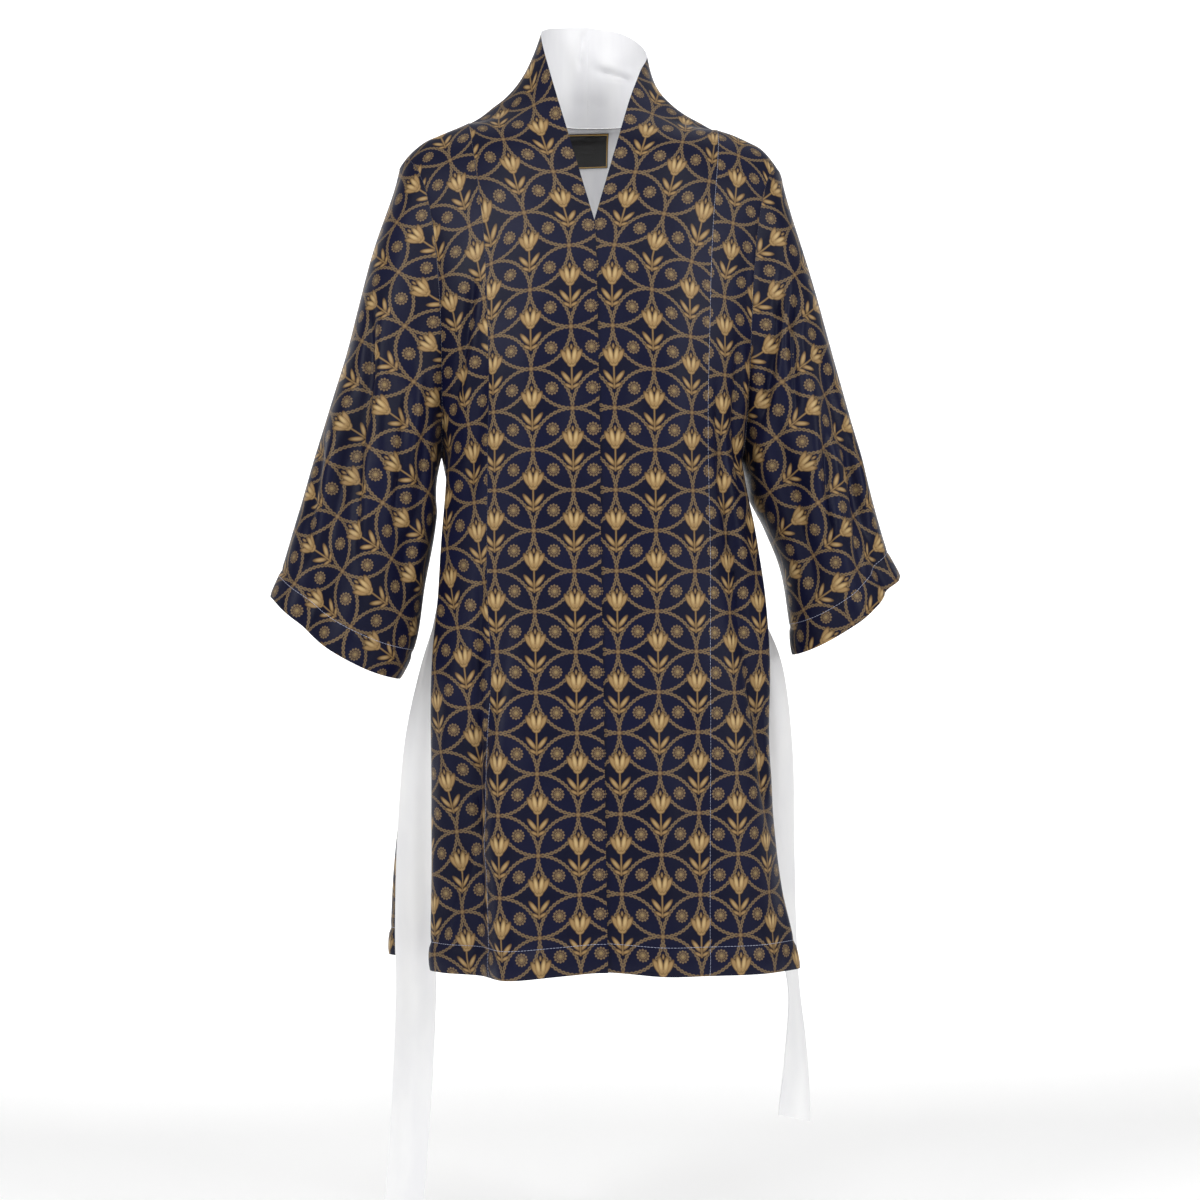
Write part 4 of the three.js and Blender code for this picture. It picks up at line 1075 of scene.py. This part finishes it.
def printed_satin():
    material, tree, shader = new_material("printed_satin", 0.42, 0.03)
    u, v = print_place(tree)
    first = ((u + v) * (0.5 / CIRCLE) + 0.5).floor()
    second = ((u - v) * (0.5 / CIRCLE) + 0.5).floor()
    across = u - (first + second) * CIRCLE
    x = across.absolute()
    y = v - (first - second) * CIRCLE
    height = y.absolute()

    # Ground: a little darker between the circles than where they overlap
    dx = CIRCLE - x
    dy = CIRCLE - height
    ring = dx.hypot(dy) - CIRCLE
    turn = dy.turn_of(dx)
    patches = noise(tree, 9.0).between(0.3, 0.7)
    ground = blend(tree, "090c27", "10132f", patches)
    ground = blend(tree, ground, "06081c", ring.between(0, 3) * 0.5)

    # Bands with scalloped edges and two strands that wind round each other
    scallop = (turn * (2 * STRANDS)).cosine() * 0.4
    band = (scallop + BAND_HALF - ring.absolute()).between(*SOFT_EDGE)
    swing = (turn * STRANDS).cosine() * STRAND_SWING
    strand = 0.7 - (ring - swing).absolute().least((ring + swing).absolute())
    gilt = blend(tree, "3a2f31", "746147", strand.between(*SOFT_EDGE))
    printed = blend(tree, ground, gilt, band)

    # A lozenge where the bands cross
    lozenge = (dx.absolute() + height * 1.25).least(x * 1.25 + dy.absolute())
    printed = blend(tree, printed, "5d4936", (LOZENGE - lozenge).between(0, 0.8))
    printed = blend(tree, printed, "836b4a", (LOZENGE_INSIDE - lozenge).between(0, 1.8))

    # Rosettes
    rx = x - CIRCLE / 2
    ry = height - CIRCLE / 2
    radius = rx.hypot(ry)
    spokes = (ry.turn_of(rx) * ROSETTE_PETALS).cosine()
    rosette = (spokes * 0.5 + ROSETTE - radius).between(*SOFT_EDGE)
    rosette_gilt = blend(tree, "544334", "76634a", (spokes + 0.4).between(-0.6, 0.8))
    dark_ring = (0.7 - (radius - ROSETTE_RING).absolute()).between(0, 0.5)
    rosette_gilt = blend(tree, rosette_gilt, "493a33", dark_ring)
    rosette_gilt = blend(tree, rosette_gilt, "8c7752", (ROSETTE_MIDDLE - radius).between(0, 0.9))
    printed = blend(tree, printed, rosette_gilt, rosette)

    # The flower: stem, two leaves, outer petals and a middle one
    flower = (STEM_HALF_WIDTH - x).least(STEM_HALF_LENGTH - (y + STEM_DROP).absolute())
    petals = {oval["name"]: petal(x, y, oval) for oval in PETALS}
    for part in petals.values():
        flower = flower.most(part)
    inner_petal = petals["inner"]
    gold = blend(tree, "58432c", "9c7f55", flower.between(0, 1.6))
    gold = blend(tree, gold, "bfa474", inner_petal.between(0.6, 2.6))
    gold = blend(tree, gold, "78603c", (0.45 - inner_petal.absolute()).between(0, 0.4) * 0.8)
    gold = blend(tree, gold, "a78d63", petals["leaf"].between(1.0, 2.4))
    printed = blend(tree, printed, gold, flower.between(-0.25, 0.3))

    tree.links.new(printed, shader.inputs["Base Color"])
    shader.inputs["Sheen Tint"].default_value = colour("aab0d2")
    shader.inputs["Specular IOR Level"].default_value = 0.16
    glossy = noise(tree, 30.0, 3.0).between(0.3, 0.7) * 0.08 + 0.36
    tree.links.new(glossy.socket, shader.inputs["Roughness"])
    add_weave(tree, shader, u, v, 0.9, 0.18)
    return material


def plain_satin(name, low, high, roughness, sheen, stretch):
    material, tree, shader = new_material(name, roughness, sheen)
    u, v = print_place(tree)
    streaks = noise(tree, 40.0, 3.0, stretch).between(0.25, 0.75)
    tree.links.new(blend(tree, low, high, streaks), shader.inputs["Base Color"])
    glossy = streaks * 0.12 + (roughness - 0.06)
    tree.links.new(glossy.socket, shader.inputs["Roughness"])
    add_weave(tree, shader, u, v, 0.8, 0.15)
    return material


def thread_material(name, low, high):
    material, tree, shader = new_material(name, 0.45, 0.2)
    twist = noise(tree, 900.0, 1.0).between(0.35, 0.65)
    tree.links.new(blend(tree, low, high, twist), shader.inputs["Base Color"])
    return material


# The woven label: black with a gold border, bare between
LABEL_BORDER = (0.4, 1.9)
LABEL_RIB = 0.9


def label_material():
    material, tree, shader = new_material("woven_label", 0.34, 0.1)
    u, v = print_place(tree)
    inset = (LABEL_WIDTH / 2 - u.absolute()).least(LABEL_HEIGHT / 2 - v.absolute())
    line = (inset - LABEL_BORDER[0]).between(0, 0.3) * (LABEL_BORDER[1] - inset).between(0, 0.3)
    rib = (v * (2 * math.pi / LABEL_RIB)).cosine().between(-1, 1)
    black = blend(tree, "040404", "0c0b0a", rib)
    gilt = blend(tree, "8a6c34", "c6a05a", rib)
    tree.links.new(blend(tree, black, gilt, line), shader.inputs["Base Color"])
    add_weave(tree, shader, u, v, LABEL_RIB, 0.3)
    return material


PRINTED = printed_satin()
REVERSE = plain_satin("reverse_satin", "ededf0", "f8f8f9", 0.5, 0.2, (1, 1, 0.2))
EDGE = plain_satin("cut_edge", "d6d8e0", "ecedf1", 0.6, 0.1, (1, 1, 1))
WHITE = plain_satin("belt_satin", "f0f0f2", "f8f8f8", 0.42, 0.2, (1, 1, 0.3))
THREAD = thread_material("thread", "8f96b4", "c6cbdf")
NAVY_THREAD = thread_material("navy_thread", "14162e", "2a2d4c")
LABEL = label_material()


# Stitches: each is a small spindle that stands a little proud of the cloth
STITCH_LENGTH = 3.1
STITCH_PITCH = 3.5
STITCH_GIRTHS = [(0, 0.35), (0.25, 1), (0.75, 1), (1, 0.35)]


def stitch_line(path, normals, radius):
    """Vertices and faces of the stitches along a path on the cloth"""
    walked = lengths_along(path, 0)
    starts = np.arange(1.0, walked[-1] - STITCH_LENGTH, STITCH_PITCH)

    def at(distance, values):
        return np.stack([np.interp(distance, walked, values[:, k]) for k in range(3)], axis=-1)

    rings = []
    for share, girth in STITCH_GIRTHS:
        spot = starts + share * STITCH_LENGTH
        out = at(spot, normals)
        side = unit(np.cross(at(spot + 0.5, path) - at(spot - 0.5, path), out))
        centre = at(spot, path) + out * radius * 0.5
        ways = (side, out, -side, -out)
        rings.append(np.stack([centre + girth * radius * way for way in ways], axis=1))
    vertices = np.stack(rings, axis=1).reshape(-1, 3)
    faces = []
    for ring in range(3):
        for corner in range(4):
            here = ring * 4 + corner
            beside = ring * 4 + (corner + 1) % 4
            faces.append((here, beside, beside + 4, here + 4))
    faces.append((3, 2, 1, 0))
    faces.append((12, 13, 14, 15))
    offsets = np.arange(len(starts))[:, None, None] * 16
    return vertices, (np.array(faces)[None] + offsets).reshape(-1, 4)


def sew(name, lines, radius, material):
    """One piece of all the stitch lines given"""
    vertices = []
    faces = []
    count = 0
    for path, normals in lines:
        points, quads = stitch_line(path, normals, radius)
        vertices.append(points)
        faces.append(quads + count)
        count += len(points)
    mesh = bpy.data.meshes.new(name)
    mesh.from_pydata((np.concatenate(vertices) * MM).tolist(), [], np.concatenate(faces).tolist())
    mesh.materials.append(material)
    mesh.shade_smooth()
    dress(add_object(name, mesh), None)


def row_line(grid, normals, row):
    """A level line across a grid, at a fractional row"""
    low = int(row)
    share = row - low
    return mix(grid[low], grid[low + 1], share), mix(normals[low], normals[low + 1], share)


def close_ring(grid):
    return np.concatenate([grid, grid[:, :1]], axis=1)


# How far the print is turned, in degrees
SLEEVE_PRINT_LEAN = 20
SIDE_FRONT_PRINT_LEAN = {RIGHT: 8, LEFT: 0}


def leaning(u, v, lean):
    """Cloth coordinates turned by an angle"""
    across = u * math.cos(lean) + v * math.sin(lean)
    return np.stack([across, v * math.cos(lean) - u * math.sin(lean)], axis=-1)


def sleeve_prints(half, sleeve):
    """The cloth's own coordinates on a sleeve, as if it were slit at the underarm and unrolled"""
    axis = unit(sleeve[-1].mean(axis=0) - sleeve[0].mean(axis=0))
    outward = np.array([-axis[2], 0, axis[0]]) * half
    ring = close_ring(sleeve)
    steps = np.diff(ring, axis=1)
    steps = np.linalg.norm(steps - (steps @ axis)[..., None] * axis, axis=-1)
    around = np.concatenate([np.zeros((len(ring), 1)), np.cumsum(steps, axis=1)], axis=1)
    outer = SLEEVE_COLUMNS // 2
    u = half * (ring @ axis)
    v = (ring[:, outer] @ outward)[:, None] - (around - around[:, outer:outer + 1])
    return leaning(u, v, math.radians(SLEEVE_PRINT_LEAN) * half)


RELAX_STEP = 0.12


def relax(prints, points, stride, rounds):
    """Moves a grid's flat places until their distances are those on the cloth"""
    flat = prints[::stride, ::stride].copy()
    solid = points[::stride, ::stride]
    rows, columns = flat.shape[:2]
    pairs = []
    for down, right in ((0, 1), (1, 0), (1, 1), (1, -1)):
        left = slice(max(0, -right), columns - max(0, right))
        moved = slice(max(0, right), columns + min(0, right))
        pairs.append(((slice(0, rows - down), left), (slice(down, rows), moved)))
    lengths = [np.linalg.norm(solid[b] - solid[a], axis=-1) for a, b in pairs]
    for _ in range(rounds):
        push = np.zeros_like(flat)
        for (a, b), length in zip(pairs, lengths):
            step = flat[b] - flat[a]
            now = np.maximum(np.linalg.norm(step, axis=-1), 1e-6)
            step = step * (RELAX_STEP * (1 - length / now))[..., None]
            push[a] += step
            push[b] -= step
        flat += push
    moved = flat - prints[::stride, ::stride]
    for axis in (0, 1):
        full = prints.shape[axis]
        at = np.arange(full) / stride
        low = np.minimum(at.astype(int), moved.shape[axis] - 2)
        share = np.expand_dims(at - low, tuple(k for k in range(3) if k != axis))
        moved = mix(np.take(moved, low, axis), np.take(moved, low + 1, axis), share)
    return prints + moved


WOBBLE = 0.7
PANEL_WOBBLE = 0.8
HEM_WAVES_REACH = HEM_BAND * 1.6
levels = body_levels()
heights = levels * (UNDERARM_Z - HEM_Z)
turned_rows = slice(np.searchsorted(heights, HEM_BAND) - 1)
hem_row = HEM_BAND / (UNDERARM_Z - HEM_Z) * LOWER_ROWS
stitches = []
seams = []
navy_seams = []


def push_out(grid, sign, out, closed=False):
    """Moves a grid out along its normals"""
    return grid + grid_normals(grid, closed, sign) * out[..., None]


def relieve(grid, sign, creases, fade):
    return push_out(grid, sign, (creases_at(grid, creases) + wobble(grid, PANEL_WOBBLE)) * fade)


def add_hem(grid, sign, height, fade=1.0, closed=False):
    """Moves a grid out where its turned-up hem makes it thicker"""
    near = ease(height, HEM_WAVES_REACH, 0)
    out = hem_puff(height) + hem_waves(lengths_along(grid, 1)) * near
    return push_out(grid, sign, out * fade, closed)


# The height under which a front's seam shows its pale thread
PALE_SEAM_BELOW = {RIGHT: -622, LEFT: 200}

# Where the print starts, across the cloth
PRINT_AT_FREE_EDGE = 14
PRINT_AT_RIGHT_SEAM = 96
COLLAR_BEHIND_NECK = (10, 40)

# The fronts
for half, side in SIDES.items():
    centre = centre_front_grid(half)
    rows_below = len(centre) - CENTRE_BACK_STEP * COLLAR_ROWS_PER_STEP - 1
    row_index = np.arange(len(centre))[:, None]
    column_share = np.linspace(0, 1, CENTRE_COLUMNS + 1)[None]
    edge_fade = 1 - ease(row_index, rows_below, rows_below + 1.4 * COLLAR_ROWS_PER_STEP)
    out = (creases_at(centre, FRONT_CREASES) + wobble(centre, WOBBLE)) * edge_fade
    inside_collar = ease(centre[..., 1], *COLLAR_BEHIND_NECK) * ease(1 - column_share, 0, 0.3)
    inside_collar = inside_collar * ease(len(centre) - 1 - row_index, 0, 2)
    out += creases_at(centre, COLLAR_CREASES) * inside_collar
    centre = push_out(centre, half, out)
    centre = add_hem(centre, half, heights[np.minimum(row_index, rows_below)])
    along = lengths_along(centre, 0)[:, CENTRE_COLUMNS // 2]
    across = lengths_along(centre, 1) + PRINT_AT_FREE_EDGE
    prints = np.stack([half * across, np.broadcast_to(along[:, None], across.shape)], axis=-1)
    centre_widths = across[np.minimum(np.arange(len(levels)), rows_below), -1]
    normals = printed_cloth(
        f"centre_front_{side}", centre, prints, half,
        turned=turned_rows, printed_rims=("bottom", "top", "last"),
    )
    stitches.append(row_line(centre, normals, hem_row))

    panel = side_front_grid(half)
    share = np.linspace(0, 1, SIDE_COLUMNS + 1)[None]
    fade = ease(1 - share, 0, 0.22) * ease(2 - levels[:, None], 0, 0.12)
    panel = relieve(panel, half, FRONT_CREASES, fade)
    panel = add_hem(panel, half, heights[:, None], mix(0.35, 1, ease(1 - share, 0, 0.15)))
    across = lengths_along(panel, 1)
    along = lengths_along(panel, 0)[:, :1] + np.zeros_like(across)
    start = centre_widths[:, None] if half == LEFT else PRINT_AT_RIGHT_SEAM
    prints = leaning(half * (start + across), along, math.radians(SIDE_FRONT_PRINT_LEAN[half]))
    normals = printed_cloth(
        f"side_front_{side}", panel, prints, half, turned=turned_rows, printed_rims=ALL_RIMS,
    )
    stitches.append(row_line(panel, normals, hem_row))
    seam = panel[:, 0]
    seam_normals = normals[:, 0]
    pale = seam[:, 2] < PALE_SEAM_BELOW[half]
    seams.append((seam[pale], seam_normals[pale]))
    if not pale.all():
        navy_seams.append((seam[~pale], seam_normals[~pale]))

# The back
back = back_grid()
middle = BACK_COLUMNS_PER_HALF
shares = np.abs(np.arange(-middle, middle + 1))[None] / middle
fade = ease(1 - shares, 0, 0.1) * ease(2 - levels[:, None], 0, 0.1)
back = relieve(back, -1, BACK_CREASES, fade)
back = add_hem(back, -1, heights[:, None], mix(0.35, 1, ease(1 - shares, 0, 0.06)))
across = lengths_along(back, 1)
across = across - across[:, middle:middle + 1]
along = lengths_along(back, 0)[:, middle:middle + 1] + np.zeros_like(across)
prints = np.stack([-across, along], axis=-1)
back_normals = printed_cloth("back", back, prints, -1, turned=turned_rows, printed_rims=ALL_RIMS)
stitches.append(row_line(back, back_normals, hem_row))

# The sleeves
CUFF_RINGS = 15
CUFF_PUFF = 0.8
RELAX_STRIDES = (8, 4, 2, 1)
RELAX_ROUNDS = 60
CUFF_LENGTHS = np.concatenate([
    np.linspace(0, CUFF_BAND_STARTS, SLEEVE_RINGS + 1 - CUFF_RINGS, endpoint=False),
    np.linspace(CUFF_BAND_STARTS, 1, CUFF_RINGS),
])
for half, side in SIDES.items():
    sleeve = np.array([sleeve_ring(half, along) for along in CUFF_LENGTHS])
    forward = np.sin(np.radians(SLEEVE_TURNS))[None]
    out = creases_at(sleeve, SLEEVE_CREASES[half]) * ease(forward, 0, 0.5)
    out += creases_at(sleeve, SLEEVE_BACK_CREASES[half]) * ease(-forward, 0, 0.5)
    out = (out + wobble(sleeve, WOBBLE)) * ease(CUFF_LENGTHS[:, None], 0, 0.08)
    sleeve = push_out(sleeve, half, out, closed=True)
    along = lengths_along(sleeve, 0)
    to_cuff = along[-1:] - along
    sleeve = add_hem(sleeve, half, to_cuff, CUFF_PUFF, closed=True)
    prints = sleeve_prints(half, sleeve)
    ring = close_ring(sleeve)
    for stride in RELAX_STRIDES:
        prints = relax(prints, ring, stride, RELAX_ROUNDS * stride)
    cuff_ring = int(np.argmax(np.mean(to_cuff, axis=1) < HEM_BAND))
    normals = close_ring(printed_cloth(
        f"sleeve_{side}", sleeve, prints, half, closed=True,
        turned=slice(cuff_ring, None), printed_rims=("bottom", "top"),
    ))
    stitches.append(row_line(ring, normals, cuff_ring - 0.5))
    navy_seams.append(row_line(ring, normals, 0.2))

sew("hem_stitches", stitches, 0.26, THREAD)
sew("seam_stitches", seams, 0.2, THREAD)
sew("navy_stitches", navy_seams, 0.3, NAVY_THREAD)


def on_back(column, z):
    """The point of the back's outer side over a height, and the way out from there"""
    low = int(column)
    line, normals = (mix(grid[:, low], grid[:, low + 1], column - low) for grid in (back, back_normals))

    def at_height(values):
        return np.array([np.interp(z, line[:, 2], values[:, k]) for k in range(3)])

    return at_height(line), unit(at_height(normals))


# The belt: round the back, through its loops and down both sides
LOOP_REACH = BACK_COLUMNS_PER_HALF * 11 / 13
across_belt = np.linspace(-0.5, 0.5, BELT_ACROSS + 1)


def belt_back_rows():
    rows = []
    for k in np.linspace(-LOOP_REACH, LOOP_REACH, 112):
        toward_loop = abs(k) / LOOP_REACH
        width = mix(BELT_WIDTH, BELT_LOOP_WIDTH_THERE, ease(toward_loop, BELT_NARROWS_FROM, 1))
        row = []
        for share in across_belt:
            point, out = on_back(BACK_COLUMNS_PER_HALF + k, BELT_Z + width * share)
            gather = 0.5 * ease(toward_loop, 0.6, 1) * (1 + math.cos(share * 19))
            row.append(point + out * (BELT_STANDOFF + BELT_WALL + gather))
        rows.append(np.array(row))
    return rows


def belt_turn_rows(half, start):
    centre = start[BELT_ACROSS // 2]
    up = unit(start[-1] - start[0])
    forward = unit(np.array([half * BELT_TURN_OUTWARD, -1, 0]))
    rows = []
    for i in range(1, BELT_TURN_STEPS + 1):
        turn = i / (BELT_TURN_STEPS + 1) * math.pi / 2
        spot = centre + forward * BELT_TURN_RADIUS * math.sin(turn)
        spot = spot - up * BELT_TURN_RADIUS * (1 - math.cos(turn))
        wide = up * math.cos(turn) + forward * math.sin(turn)
        rows.append(spot + wide * (across_belt[:, None] * BELT_LOOP_WIDTH_THERE))
    return rows


def belt_tail_rows(half):
    """A hanging end, gathered into soft folds near its loop. The left one ends in a slanting cut"""
    rows = []
    sections = BELT_TAILS[half]
    last = len(sections["z"]) - 1
    for i in range(TAIL_ROWS + 1):
        step = i / TAIL_ROWS * last
        now = {column: read_step(sections, step, column) for column in sections}
        turn = math.radians(now["turn"])
        wide = np.array([-half * math.cos(turn), half * math.sin(turn), 0])
        out = np.array([-wide[1], wide[0], 0]) * half
        gather = mix(2.4, 1.3, ease(step, 0, 4.5))
        waves = np.cos(across_belt * 2 * math.pi * 0.9 + 0.4 + step * 0.3)
        waves = waves + 0.35 * np.cos(across_belt * 2 * math.pi * 1.9 + 1.9 - step * 0.5)
        row = place(half * now["x"], now["y"], now["z"]) + wide * (across_belt[:, None] * now["width"])
        row = row + out * (gather * waves * ease(step, 0, 0.6))[:, None]
        if half == LEFT:
            row[:, 2] += TAIL_SLANT * (across_belt + 0.5) * ease(step, last - 1, last)
        rows.append(row)
    return rows


belt_middle = belt_back_rows()
belt_right = belt_turn_rows(RIGHT, belt_middle[0]) + belt_tail_rows(RIGHT)
belt_left = belt_turn_rows(LEFT, belt_middle[-1]) + belt_tail_rows(LEFT)
belt = np.array(belt_right[::-1] + belt_middle + belt_left)
strip("cloth_belt", "belt", "plain_satin", belt, 1, WHITE, BELT_WALL)

# The thread loops that hold the belt
LOOP_PATH = table(
    "z out",
    (31, 0.5),
    (27, 2.6),
    (19, 3.4),
    (-19, 3.4),
    (-27, 2.6),
    (-31, 0.5),
)
LOOP_THREAD = 1.4
LOOP_WIDTH = 4.4
LOOP_ROWS = 41
LOOP_COLUMNS = 7
for half, side in SIDES.items():
    rows = []
    for step in np.linspace(0, len(LOOP_PATH["z"]) - 1, LOOP_ROWS):
        z = read_step(LOOP_PATH, step, "z")
        point, out = on_back(BACK_COLUMNS_PER_HALF + half * LOOP_REACH, BELT_Z + z)
        level_out = unit(np.array([out[0], out[1], 0]))
        beside = np.array([-level_out[1], level_out[0], 0])
        crown = 0.35 * np.cos(np.linspace(-1.4, 1.4, LOOP_COLUMNS)) + 0.12 * math.sin(step * 9)
        width = np.linspace(-0.5, 0.5, LOOP_COLUMNS) * LOOP_WIDTH
        reach = read_step(LOOP_PATH, step, "out") + LOOP_THREAD + crown
        rows.append(point + level_out * reach[:, None] + beside * width[:, None])
    strip(
        f"thread_loop_{side}", f"belt_loop_{side}", "plain_satin",
        np.array(rows), -1, WHITE, LOOP_THREAD,
    )

# The label inside the back
LABEL_WALL = 0.5
LABEL_STANDOFF = 1.0
LABEL_CURL = 1.1
LABEL_ROWS = 19
LABEL_COLUMNS = 25
BACK_COLUMNS_NEAR_LABEL = 30
label_rows = []
label_columns = BACK_COLUMNS_PER_HALF + np.arange(-BACK_COLUMNS_NEAR_LABEL, BACK_COLUMNS_NEAR_LABEL + 1)
label_across = LABEL_WIDTH * np.linspace(-0.5, 0.5, LABEL_COLUMNS)
label_up = LABEL_HEIGHT * np.linspace(-0.5, 0.5, LABEL_ROWS)
for below_top in LABEL_HEIGHT / 2 - label_up:
    row = []
    for x in label_across:
        tilted = x * math.sin(math.radians(LABEL_TILT))
        z = BACK_NECK_Z - LABEL_DROP - below_top + tilted
        places = [on_back(float(column), z) for column in label_columns]
        column = np.interp(x, [spot[0] for spot, _ in places], label_columns)
        point, out = on_back(column, z)
        curl = LABEL_CURL * bump(below_top - 5 + 0.12 * x, 2.2)
        row.append(point - out * (CLOTH + LABEL_STANDOFF + curl))
    label_rows.append(row)
label_prints = np.stack(np.meshgrid(label_across, label_up), axis=-1)
shell(
    "woven_label", "neck_label", "woven_label",
    np.array(label_rows), label_prints, -1, [LABEL] * 3, thickness=LABEL_WALL,
)

# Floor and backdrop in one sweep
FLOOR_Z = -1.235
SWEEP = [(-4.6, 0), (3.4, 0), (4.2, 0.08), (4.8, 0.35), (5.2, 0.9), (5.3, 1.8), (5.3, 4.6)]
HALF_WIDTH = 5.4


def add_sweep():
    vertices = [(side * HALF_WIDTH, y, FLOOR_Z + z) for y, z in SWEEP for side in (-1, 1)]
    faces = [(2 * k, 2 * k + 1, 2 * k + 3, 2 * k + 2) for k in range(len(SWEEP) - 1)]
    mesh = bpy.data.meshes.new("floor")
    mesh.from_pydata(vertices, [], faces)
    mesh.shade_smooth()
    material, tree, shader = new_material("floor", 0.9, 0.0)
    patches = noise(tree, 1.2).between(0.2, 0.8)
    tree.links.new(blend(tree, "fafafa", "fdfdfd", patches), shader.inputs["Base Color"])
    shader.inputs["Emission Color"].default_value = (1, 1, 1, 1)
    shader.inputs["Emission Strength"].default_value = 0.22
    mesh.materials.append(material)
    add_object("floor", mesh)


LIGHTS = records(
    "name stand target size power",
    ("left", (-1.9, -1.9, 0.8), (0, 0, -0.4), (0.8, 1.6), 29),
    ("right", (2.0, -1.8, 0.7), (0, 0, -0.4), (0.8, 1.6), 27),
    ("front", (-0.2, -2.5, 1.6), (0, 0, -0.35), (1.4, 1.0), 18),
    ("top", (0.2, 0.3, 2.2), (0, 0, -0.4), (2.6, 2.6), 16),
    ("within", (0, -0.07, -0.06), (0, 0.06, -0.1), (0.04, 0.05), 0.042),
    ("wall", (0, 2.2, 1.6), (0, 5.3, 0), (5, 2), 130),
)


def add_light(name, stand, target, size, power):
    data = bpy.data.lights.new(name, "AREA")
    data.shape = "RECTANGLE"
    data.size, data.size_y = size
    data.energy = power
    light = add_object(name, data)
    light.location = stand
    aim = np.array(target, float) - np.array(stand, float)
    yaw = math.atan2(-aim[0], aim[1])
    pitch = math.atan2(aim[2], math.hypot(aim[0], aim[1])) + math.pi / 2
    light.rotation_euler = (pitch, 0, yaw)
    light.visible_camera = False


add_sweep()
for light in LIGHTS:
    add_light(**light)
world = bpy.data.worlds.new("studio")
world.use_nodes = True
world.node_tree.nodes["Background"].inputs["Color"].default_value = (1, 1, 1, 1)
world.node_tree.nodes["Background"].inputs["Strength"].default_value = 0.3
bpy.context.scene.world = world
bpy.context.scene.view_settings.view_transform = "Standard"
